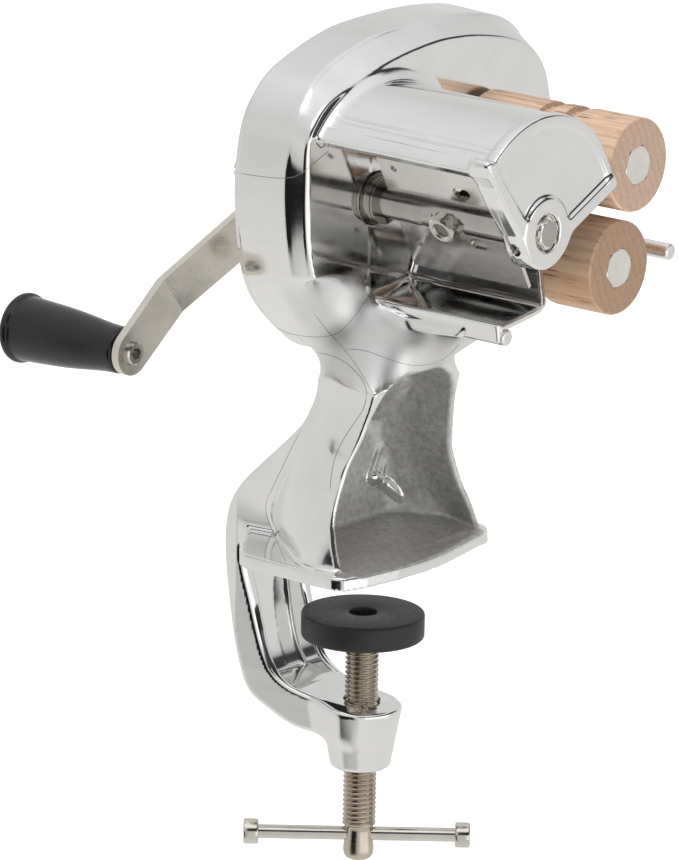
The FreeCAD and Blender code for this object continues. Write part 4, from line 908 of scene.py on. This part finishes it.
# ------------------------------------------------------------------ the casting
STEP = 0.8
P, Q, N = surface_nets(f_casting, (-52, -46, -80), (79, 104, 187), STEP)
inside_case = rmax(case_outline(P[:, 0], P[:, 1], P[:, 2]) + 2.4, P[:, 0] + 0.9, np.maximum(case_edge(P[:, 1], P[:, 2]) - 2.2, 0.2))
mt = step((ev(lambda X, Y, Z: -f_cavity(X, Y, Z), P) + 1.9) / 1.2)
mt = np.maximum(mt, step((0.6 - inside_case) / 0.5))


def relax(P, Q, N, w, rounds):
    """Draw the marked part of a mesh out smooth, and take its normals from the faces."""
    P = P.copy()
    E = np.vstack([Q[:, [0, 1]], Q[:, [1, 2]], Q[:, [2, 3]], Q[:, [3, 0]]])
    a, b = np.concatenate([E[:, 0], E[:, 1]]), np.concatenate([E[:, 1], E[:, 0]])
    k = w[a] > 0
    a, b = a[k], b[k]
    n = len(P)
    cnt = np.maximum(np.bincount(a, minlength=n), 1)
    for _ in range(rounds):
        for c in range(3):
            P[:, c] += w * (np.bincount(a, weights=P[b, c], minlength=n) / cnt - P[:, c]) * (w > 0)
    fn = np.cross(P[Q[:, 2]] - P[Q[:, 0]], P[Q[:, 3]] - P[Q[:, 1]])
    vn = np.zeros_like(P)
    for c in range(3):
        for q in range(4):
            vn[:, c] += np.bincount(Q[:, q], weights=fn[:, c], minlength=n)
    vn /= np.maximum(np.linalg.norm(vn, axis=1), 1e-9)[:, None]
    if np.mean(np.sum(vn * N, axis=1)) < 0:
        vn = -vn
    u = np.minimum(w * 4.0, 1.0)[:, None]
    N = N * (1 - u) + vn * u
    return P, N / np.linalg.norm(N, axis=1)[:, None]


# the scoop under the trough runs softly into the wall and the neck
X_, Y_, Z_ = P[:, 0], P[:, 1], P[:, 2]
soft = step((X_ + 18.0) / 9.0) * step((106.0 - Z_) / 10.0) * step((Z_ - 64.0) / 8.0) * step((27.0 - Y_) / 7.0)
soft = soft * (1.0 - step((Z_ - 83.5) / 3.0) * step((Y_ + 8.5) / 2.5)) * (1.0 - mt)
P, N = relax(P, Q, N, np.where(soft > 0.02, soft, 0.0), int(round(320 * (0.8 / STEP) ** 2)))
casting = mesh_from("body_casting", P, Q, M_CAST, N)
for a_, b_, r_ in RIBS[2:]:
    mt = mt * step((capsule(P[:, 0], P[:, 1], P[:, 2], a_, b_) - r_ - 0.2) / 0.7)
set_attr(casting, "matte", mt)
set_attr(casting, "satin", soft)
# painted shade mask: casting faces turned to the rotor inside the chamber, whose base colour is darkened
shade = step((N[:, 0] - 0.55) / 0.35) * step((P[:, 0] + 24.0) / 3.0) * (1.0 - step((P[:, 0] + 2.0) / 4.0)) * step((P[:, 1] + 36.0) / 4.0)
shade = shade * step((P[:, 2] - 97.0) / 12.0) * (1.0 - step((P[:, 2] - 137.0) / 14.0)) * (1.0 - mt)
set_attr(casting, "shade", shade)
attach(casting, "frame")
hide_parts("gear_case", "rotor_hood", "outlet_trough", "pedestal", "clamp_frame")


# ------------------------------------------------------------------ turned and pressed pieces (millimetres)
QN = 1.0


def frame_axes(axis, spin=0.0):
    """Two directions square to an axis, turned by spin degrees."""
    w = Vector(axis).normalized()
    ref = Vector((0, 0, 1)) if abs(w.z) < 0.9 else Vector((0, 1, 0))
    u = ref.cross(w).normalized()
    v = w.cross(u)
    c, s = math.cos(spin * DEG), math.sin(spin * DEG)
    return w, u * c + v * s, v * c - u * s


def hex_radius(af, th, turn=0.0):
    t = (th - turn * DEG) % (math.pi / 3) - math.pi / 6
    return af / 2 / np.cos(t)


def turned(name, rings, at, axis, mat, n=96, spin=0.0, angle=28.0, closed_loop=False):
    """A mesh from rings along an axis; each ring is (t, r) or (t, function of the angle)."""
    n = max(24, int(n * QN) // 12 * 12)
    w, u, v = frame_axes(axis, spin)
    w, u, v, o = (np.array(q) for q in (w, u, v, at))
    th = np.arange(n) * 2 * math.pi / n
    P, F, prev, first = [], [], None, None
    for t, r in rings:
        if not callable(r) and r == 0:
            cur = [len(P)]
            P.append(o + w * t)
        else:
            rr = r(th) if callable(r) else np.full(n, float(r))
            tt = t(th) if callable(t) else np.full(n, float(t))
            cur = list(range(len(P), len(P) + n))
            P.extend(o + w * tt[i] + rr[i] * (u * math.cos(th[i]) + v * math.sin(th[i])) for i in range(n))
        if prev is not None:
            F += band(prev, cur)
        if first is None:
            first = cur
        prev = cur
    if closed_loop:
        F += band(prev, first)
    ob = mesh_from(name, P, F, mat, smooth=True, angle=angle * DEG)
    bm = bmesh.new()
    bm.from_mesh(ob.data)
    bmesh.ops.recalc_face_normals(bm, faces=bm.faces)
    bm.to_mesh(ob.data)
    bm.free()
    ob.data.set_sharp_from_angle(angle=angle * DEG)
    return ob


def band(a, b):
    n = max(len(a), len(b))
    if len(a) == 1:
        return [(a[0], b[(i + 1) % n], b[i]) for i in range(n)]
    if len(b) == 1:
        return [(a[i], a[(i + 1) % n], b[0]) for i in range(n)]
    return [(a[i], a[(i + 1) % n], b[(i + 1) % n], b[i]) for i in range(n)]


def arc_pts(c, r, a0, a1, n):
    return [(c[0] + r * math.cos((a0 + (a1 - a0) * k / n) * DEG), c[1] + r * math.sin((a0 + (a1 - a0) * k / n) * DEG)) for k in range(n + 1)]


def done(ob, body, slot, *nodes):
    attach(ob, body)
    if nodes:
        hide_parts(*nodes)
    return ob


XAX = (1.0, 0.0, 0.0)
ZAX = (0.0, 0.0, 1.0)
_, XU, XV = frame_axes(XAX)
X_SPIN = math.degrees(math.atan2(XU.z, XU.y))          # the section angle is measured from +Y


def x_spin(deg=0.0):
    """Turns a section along X so that its zero angle points along +Y, plus deg."""
    return deg - X_SPIN


# beech rollers, each with its hexagonal bore
AF = 12.7


def roller(name, y, z, prof, mat, body):
    bore = lambda th: hex_radius(AF + 0.1, th, 12.0)
    rings = [(prof[0][0], bore)] + prof + [(prof[-1][0], bore)]
    ob = turned(name + "_wood", rings, (0, y, z), XAX, mat, 144, x_spin(), 40.0, closed_loop=True)
    return done(ob, body, "beech", name)


def softened(pts, r, n=4):
    return fillet_line(pts, r, n, False)


up_prof = [(5.0, 15.5)] + arc_pts((6.0, 15.5), 1.0, 180, 90, 4)[1:] + [(12, 16.5), (20, 16.5), (27, 16.5), (32.3, 16.5), (32.7, 16.35), (32.95, 15.6), (33.2, 14.9), (33.7, 14.55), (34.5, 14.7), (35.6, 15.3), (36.8, 15.9), (38.0, 16.3), (39.5, 16.48), (41.5, 16.5), (42.9, 16.5), (43.3, 16.3), (43.6, 15.4), (43.9, 14.7), (44.4, 14.35), (45.4, 14.65), (46.8, 15.4), (48.2, 16.05), (49.4, 16.4), (50.6, 16.5), (51.1, 16.3), (51.6, 16.5), (58, 16.5), (66, 16.5)] + arc_pts((69.7, 15.5), 1.0, 90, 0, 4)
lo_prof = [(5.0, 13.9)] + arc_pts((5.9, 13.9), 0.9, 180, 90, 4)[1:] + [(12, 14.8), (24, 14.8), (34.5, 14.8), (35.6, 14.6), (36.8, 13.9), (38.0, 12.9), (39.4, 12.25), (41.0, 12.1), (42.4, 12.4), (43.8, 13.2), (45.2, 14.5), (46.4, 15.7), (47.4, 16.3), (48.6, 16.5),
    (56, 16.5), (63, 16.5)] + arc_pts((69.7, 15.5), 1.0, 90, 0, 4)
roller("upper_roller", UP_Y, UP_Z, up_prof, M_WOOD_U, "upper_wood_roller")
roller("lower_roller", LO_Y, LO_Z, lo_prof, M_WOOD_L, "lower_wood_roller")

# roller shafts: round behind the wall, hexagonal through the wood, chamfered at the end
for nm, y, z in (("upper", UP_Y, UP_Z), ("lower", LO_Y, LO_Z)):
    hx = lambda th: hex_radius(AF, th, 12.0)
    cham = [(70.7 - k, (lambda q: (lambda th: np.minimum(hex_radius(AF, th, 12.0), q)))(6.62 + 1.55 * k)) for k in (0.5, 0.32, 0.14, 0.0)]
    rings = [(-30.6, 0), (-30.6, 4.6), (-30.2, 5.0), (-2.6, 5.0), (-2.6, 6.0), (3.6, 6.0), (3.6, hx), (20.0, hx), (45.0, hx), (69.9, hx)] + cham + [(70.7, 5.6), (70.62, 5.2), (70.62, 0)]
    ob = turned(nm + "_hex_shaft", rings, (0, y, z), XAX, M_HEX, 144, x_spin(), 25.0)
    done(ob, nm + "_shaft", "nickel_steel", nm + "_roller_shaft")

# rods with rounded ends
ob = turned("outlet_rod_round", [(-3.8, 0), (-3.8, 2.9), (30.0, 2.9), (60.2, 2.9), (60.55, 2.82), (60.8, 2.62), (60.95, 2.3), (61.0, 1.8), (61.0, 0)], (0, -0.2, 88.3), XAX, M_ROD, 60, x_spin(), 40.0)
done(ob, "frame", "nickel_steel", "outlet_rod")
ob = turned("guide_rod_round", [(-3.8, 0), (-3.8, 2.9), (30.0, 2.9), (69.8, 2.9), (70.2, 2.82), (70.46, 2.62), (70.63, 2.3), (70.7, 1.8), (70.7, 0)], (0, 78.5, 106.1), XAX, M_ROD, 60, x_spin(), 40.0)
done(ob, "frame", "nickel_steel", "infeed_guide_rod")

# grip, glossy black, with its flange and domed end
g0 = -54.9
grip = [(g0, 3.1), (g0, 6.6)] + arc_pts((g0 - 1.4, 6.8), 1.4, 0, 90, 5)[1:] + [(g0 - 4.0, 8.25), (g0 - 8.0, 8.5), (g0 - 12.0, 8.9), (g0 - 16.0, 9.4), (g0 - 20.0, 9.87), (g0 - 24.0, 10.28), (g0 - 29.0, 10.65), (g0 - 34.0, 10.92), (g0 - 39.0, 11.18),
        (g0 - 43.2, 11.38), (g0 - 44.1, 11.44), (g0 - 44.5, 11.6), (g0 - 44.9, 12.0), (g0 - 45.4, 12.28), (g0 - 46.0, 12.39), (g0 - 46.6, 12.38), (g0 - 47.2, 12.2), (g0 - 47.8, 11.75), (g0 - 48.25, 10.9), (g0 - 48.55, 9.6), (g0 - 48.8, 7.6), (g0 - 48.98, 5.2), (g0 - 49.07, 2.6), (g0 - 49.1, 0)]
grip_in = [(g0 - 30.2, 0.0), (g0 - 30.2, 4.5), (g0 - 12.0, 4.5), (g0 - 12.0, 3.1)]
ob = turned("grip_turned", grip_in + grip, (0, -65.166, 75.192), XAX, M_GRIP, 96, x_spin(), 32.0)
done(ob, "handle", REC_GRIP, "handle_grip")

# clamp screw with a real helical thread
def threaded(name, z0, z1, r, pitch, depth, head, tail, mat):
    n = 48
    per = 10
    rows = int(round((z1 - z0) / pitch * per))
    th = np.arange(n) * 2 * math.pi / n
    P, F, prev = [], [], None
    prof = lambda q: depth * np.clip(np.abs(2 * (q % 1.0) - 1.0) * 1.34 - 0.20, 0.0, 1.0)
    rings = [("r", t, q) for t, q in tail] + [("t", z0 + (z1 - z0) * k / rows, None) for k in range(rows + 1)] + [("r", t, q) for t, q in head]
    for kind, t, q in rings:
        if kind == "r" and q == 0:
            cur = [len(P)]
            P.append((0, 0, t))
        else:
            if kind == "r":
                rr = np.full(n, q)
            else:
                fade = min(1.0, (t - z0) / 1.2, (z1 - t) / 0.6)
                rr = r - prof(t / pitch - th / (2 * math.pi)) * max(fade, 0.0)
            cur = list(range(len(P), len(P) + n))
            P.extend((rr[i] * math.cos(th[i]), rr[i] * math.sin(th[i]), t) for i in range(n))
        if prev is not None:
            F += band(prev, cur)
        prev = cur
    ob = mesh_from(name, P, F, mat, smooth=True)
    bm = bmesh.new()
    bm.from_mesh(ob.data)
    bmesh.ops.recalc_face_normals(bm, faces=bm.faces)
    bm.to_mesh(ob.data)
    bm.free()
    ob.data.set_sharp_from_angle(angle=48 * DEG)
    return ob


ob = threaded("clamp_screw_threaded", -99.2, -31.2, 5.92, 1.75, 0.98, [(-31.0, 5.3), (-31.0, 4.2), (-28.4, 4.2), (-28.4, 0)],
              [(-112.3, 0), (-112.3, 2.6), (-112.15, 3.6), (-111.6, 4.5), (-110.7, 5.1), (-109.4, 5.38), (-107.8, 5.38), (-106.0, 5.15), (-104.0, 4.9), (-101.4, 4.85), (-100.2, 5.0), (-99.6, 5.3)], M_CLAMP)
done(ob, "screw", "clamp_nickel", "clamp_screw")

# pad with softly rounded edges
pad = [(-30.4, 4.28), (-30.4, 20.6), (-30.25, 21.1), (-29.9, 21.5), (-29.4, 21.7), (-26.0, 21.7), (-22.3, 21.7), (-21.85, 21.55), (-21.52, 21.2), (-21.4, 20.7), (-21.4, 14.0), (-21.4, 5.5), (-21.6, 5.1), (-22.0, 5.0), (-29.2, 5.0), (-29.2, 4.28)]
ob = turned("clamp_pad_turned", pad, (0, 0, 0), ZAX, M_PAD, 144, 0.0, 50.0, closed_loop=True)
done(ob, "pad", REC_PAD, "clamp_pad")

# caps of the bar
BAR = (math.cos(39.28 * DEG), math.sin(39.28 * DEG), 0.0)
cap_obs = []
for i, (e0, e1) in enumerate(((-40.7, -35.4), (34.0, 39.3))):
    a_, b_ = e0, e1
    prof = [(a_, 2.5), (a_, 3.8), (a_ + 0.12, 4.18), (a_ + 0.35, 4.42), (a_ + 0.7, 4.5), (b_ - 0.7, 4.5), (b_ - 0.35, 4.42), (b_ - 0.12, 4.18), (b_, 3.8), (b_, 2.5)]
    cap_obs.append(turned("bar_cap_%s" % ("near", "far")[i], prof, (0, 0, -103.2), BAR, M_BAR, 60, 0.0, 40.0, closed_loop=True))
for c in cap_obs:
    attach(c, "bar")
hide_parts("tbar_caps")
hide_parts("tbar_caps")

# rotor: nut and the shaft's faceted end
PH = 28.1 * DEG
NRM = (0.0, -math.cos(PH), -math.sin(PH))
hexn = lambda lim: (lambda th: np.minimum(hex_radius(10.0, th, 0.0), lim))
nut_rings = [(5.0, 2.5), (5.0, hexn(5.1)), (5.35, hexn(5.75)), (8.6, hexn(5.78)), (9.1, hexn(5.5)), (9.5, hexn(5.05)), (9.72, hexn(4.6)), (9.8, 4.2), (9.8, 3.3), (9.5, 2.75), (9.2, 2.5)]
ob = turned("blade_nut_turned", nut_rings, (37.4, 0, AXZ), NRM, M_NUT, 72, 11.0, 30.0, closed_loop=True)
done(ob, "crank", "nickel_steel", "blade_nut")
hexf = lambda af: (lambda th: hex_radius(af, th, 20.0))
facets = [(74.6, 0), (74.6, 5.2), (75.5, 5.3), (75.62, hexf(10.5)), (76.1, hexf(10.45)), (77.3, hexf(9.15)), (77.52, 4.4), (77.55, 3.0), (77.55, 0)]
ob = turned("crank_shaft_facets", facets, (0, 0, AXZ), XAX, M_HEX, 72, x_spin(), 12.0)
done(ob, "crank", "nickel_steel")


# ------------------------------------------------------------------ parting marks: thin raised lines of flash on the casting, in a darker metal that paints shade along the seams and creases
F_PX, A, E, R, TX, TY, D = 6711.6, 39.244 * DEG, 15.282 * DEG, 1.103 * DEG, -9.485, 42.617, 2343.09
C_BACK = Vector((math.sin(A) * math.cos(E), -math.cos(A) * math.cos(E), math.sin(E)))
C_R0 = Vector((math.cos(A), math.sin(A), 0))
C_U0 = C_BACK.cross(C_R0)
C_POS = C_R0 * TX + C_U0 * TY + C_BACK * D
C_RT = C_R0 * math.cos(R) + C_U0 * math.sin(R)
C_UP = -C_R0 * math.sin(R) + C_U0 * math.cos(R)

LINES = [
    (0.15, [(238, 172.5), (250, 175), (262, 176.5), (275, 178), (287, 178), (295, 176.5), (303, 172), (311, 166), (320, 158), (330, 149.5)]),
    (0.13, [(277, 328), (288, 333), (300, 335.5), (314, 337), (326, 336.5), (338, 333), (348, 324), (357, 313), (366, 300), (376, 285), (384, 273), (391, 264)]),
    (0.15, [(281, 334), (292, 342), (306, 350), (320, 353), (334, 356.5), (346, 363), (356, 372), (363, 381), (366.5, 392), (364, 407), (357, 419), (348, 432), (340, 446), (334, 461), (331, 478), (330, 492)]),
    (0.12, [(346, 349), (356, 349.5), (366, 351), (378, 355), (391, 360), (403, 363.5), (415, 365.5), (427, 364.5), (437, 362), (447, 356), (455, 349), (460, 343)]),
    (0.11, [(302, 428), (292, 447), (282, 468), (273, 487), (266, 503), (267, 517), (274, 535), (282, 553), (291, 575)]),
    (0.12, [(313, 311), (322, 324), (332, 336), (344, 349), (356, 365), (364, 378), (371, 390), (376, 398)]),
]


def flash_lines(name, mat):
    from mathutils.bvhtree import BVHTree
    tree = BVHTree.FromPolygons(P.tolist(), Q.tolist())
    V, F = [], []
    n = 6
    for rad, pts in LINES:
        uv = open_spline(pts, 14)
        run = []
        runs = [run]
        for u, v in uv:
            d = (C_RT * ((u - 339.5) / F_PX) - C_UP * ((v - 430.0) / F_PX) - C_BACK).normalized()
            hit, nrm, _, _ = tree.ray_cast(C_POS, d)
            if hit is None:
                continue
            if nrm.dot(d) > 0:
                nrm = -nrm
            if run and (hit - run[-1][0]).length > 2.2:
                run = []
                runs.append(run)
            run.append((hit, nrm))
        for run in runs:
            if len(run) < 5:
                continue
            c = np.array([tuple(h) for h, _ in run])
            nn = np.array([tuple(q) for _, q in run])
            for _ in range(6):
                c[1:-1] = (c[:-2] + 2 * c[1:-1] + c[2:]) / 4
                nn[1:-1] = (nn[:-2] + 2 * nn[1:-1] + nn[2:]) / 4
            nn /= np.linalg.norm(nn, axis=1)[:, None]
            tan = np.gradient(c, axis=0)
            tan /= np.linalg.norm(tan, axis=1)[:, None]
            side = np.cross(nn, tan)
            side /= np.linalg.norm(side, axis=1)[:, None]
            m = len(c)
            fade = np.minimum(1.0, np.minimum(np.arange(m), np.arange(m)[::-1]) / 8.0 + 0.15)
            base = len(V)
            for i in range(m):
                r = rad * fade[i]
                for k in range(n):
                    t = 2 * math.pi * k / n
                    V.append(c[i] - nn[i] * r * 0.3 + side[i] * r * math.cos(t) + nn[i] * r * math.sin(t))
            for i in range(m - 1):
                for k in range(n):
                    a, b = base + i * n + k, base + i * n + (k + 1) % n
                    F.append((a, b, b + n, a + n))
            F.append(tuple(base + k for k in range(n))[::-1])
            F.append(tuple(base + (m - 1) * n + k for k in range(n)))
    ob = mesh_from(name, V, F, mat, smooth=True)
    bm = bmesh.new()
    bm.from_mesh(ob.data)
    bmesh.ops.recalc_face_normals(bm, faces=bm.faces)
    bm.to_mesh(ob.data)
    bm.free()
    return ob


done(flash_lines("parting_lines", M_SEAM), "frame", "cast_aluminium")
# ------------------------------------------------------------------ floor, light and camera
def studio():
    w = bpy.data.worlds.new("studio")
    bpy.context.scene.world = w
    w.use_nodes = True
    nt = w.node_tree
    nt.nodes.clear()
    out = nt.nodes.new("ShaderNodeOutputWorld")
    bg = nt.nodes.new("ShaderNodeBackground")
    nt.links.new(bg.outputs[0], out.inputs[0])
    t = nd(nt, "TexCoord")
    s = nd(nt, "SeparateXYZ")
    nt.links.new(t.outputs["Generated"], s.inputs[0])
    az = math_(nt, "MULTIPLY", math_(nt, "ARCTAN2", s.outputs[1], s.outputs[0]), 1 / DEG)
    el = math_(nt, "MULTIPLY", math_(nt, "ARCSINE", s.outputs[2]), 1 / DEG)

    def box(a0, a1, e0, e1, sa=8.0, se=8.0):
        a = math_(nt, "MULTIPLY", rng(nt, az, a0 - sa / 2, a0 + sa / 2, 0, 1, True), rng(nt, az, a1 - sa / 2, a1 + sa / 2, 1, 0, True))
        e = math_(nt, "MULTIPLY", rng(nt, el, e0 - se / 2, e0 + se / 2, 0, 1, True), rng(nt, el, e1 - se / 2, e1 + se / 2, 1, 0, True))
        return math_(nt, "MULTIPLY", a, e)

    base = ramp(nt, rng(nt, el, -90, 90, 0, 1), [(0.0, (0.88, 0.87, 0.85)), (0.36, (0.76, 0.75, 0.735)), (0.5, (0.72, 0.715, 0.705)), (0.66, (0.66, 0.66, 0.655)), (0.78, (0.78, 0.78, 0.78)), (0.88, (0.88, 0.88, 0.88)), (1.0, (0.96, 0.96, 0.96))])
    col = mix(nt, box(-40, 34, -26, 12, 8, 10), base, (1.30, 1.30, 1.30))
    col = mix(nt, box(-125, 8, 48, 84, 14, 8), col, (1.22, 1.22, 1.22))
    col = mix(nt, box(-122, -60, -44, 16, 14, 18), col, (0.56, 0.555, 0.545))
    col = mix(nt, box(-114, -68, -34, 8, 5, 8), col, (0.012, 0.012, 0.013))
    col = mix(nt, box(-62, 78, 16, 42, 10, 10), col, (0.05, 0.05, 0.052))
    lp = nd(nt, "LightPath")
    col = mix(nt, lp.outputs["Is Camera Ray"], col, (1.0, 1.0, 1.0))
    nt.links.new(col, bg.inputs[0])
    bg.inputs[1].default_value = 1.0
    return w


studio()

floor_mesh = bpy.data.meshes.new("floor")
fb = bmesh.new()
bmesh.ops.create_grid(fb, x_segments=8, y_segments=8, size=30.0)
fb.to_mesh(floor_mesh)
fb.free()
floor = bpy.data.objects.new("floor", floor_mesh)
floor.location = (0, 0, -1.1)
bpy.context.scene.collection.objects.link(floor)
fm, fnt, fbs = new_mat("pale_floor")
fv = coords(fnt)
link(fnt, ramp(fnt, noise(fnt, fv, 3.0, 2, 0.5), [(0.3, (0.93, 0.93, 0.93)), (0.7, (0.96, 0.96, 0.96))]), fbs.inputs["Base Color"])
fbs.inputs["Roughness"].default_value = 0.9
fbs.inputs["Emission Color"].default_value = (1, 1, 1, 1)
fbs.inputs["Emission Strength"].default_value = 0.55
floor_mesh.materials.append(fm)
floor.visible_glossy = False


def area(name, loc, target, size, energy, col=(1, 1, 1)):
    l = bpy.data.lights.new(name, "AREA")
    l.shape = "RECTANGLE"
    l.size, l.size_y = size
    l.energy = energy
    l.color = col
    o = bpy.data.objects.new(name, l)
    o.location = loc
    o.rotation_euler = (Vector(target) - Vector(loc)).to_track_quat("-Z", "Y").to_euler()
    o.visible_glossy = False
    bpy.context.scene.collection.objects.link(o)
    return o


area("key_soft", (-0.9, -1.5, 1.9), (0, 0, 0.08), (1.6, 1.6), 22.0)
area("fill_soft", (1.9, -0.6, 0.9), (0, 0, 0.05), (1.4, 1.4), 9.0)

cam = bpy.data.cameras.new("camera")
cam.sensor_width = 36.0
cam.sensor_fit = "AUTO"
F_PX, A, E, R, TX, TY, D = 6711.6, 39.244 * DEG, 15.282 * DEG, 1.103 * DEG, -9.485, 42.617, 2343.09
cam.lens = F_PX / 860.0 * 36.0
cam.clip_start = 0.1
cam.clip_end = 100.0
co = bpy.data.objects.new("camera", cam)
back = Vector((math.sin(A) * math.cos(E), -math.cos(A) * math.cos(E), math.sin(E)))
r0 = Vector((math.cos(A), math.sin(A), 0))
u0 = back.cross(r0)
pos = (r0 * TX + u0 * TY + back * D) * MM
rt = r0 * math.cos(R) + u0 * math.sin(R)
up = -r0 * math.sin(R) + u0 * math.cos(R)
mw = Matrix((rt, up, back)).transposed().to_4x4()
mw.translation = pos
co.matrix_world = mw
bpy.context.scene.collection.objects.link(co)
bpy.context.scene.camera = co
bpy.context.scene.view_settings.view_transform = "Standard"
bpy.context.scene.view_settings.look = "None"
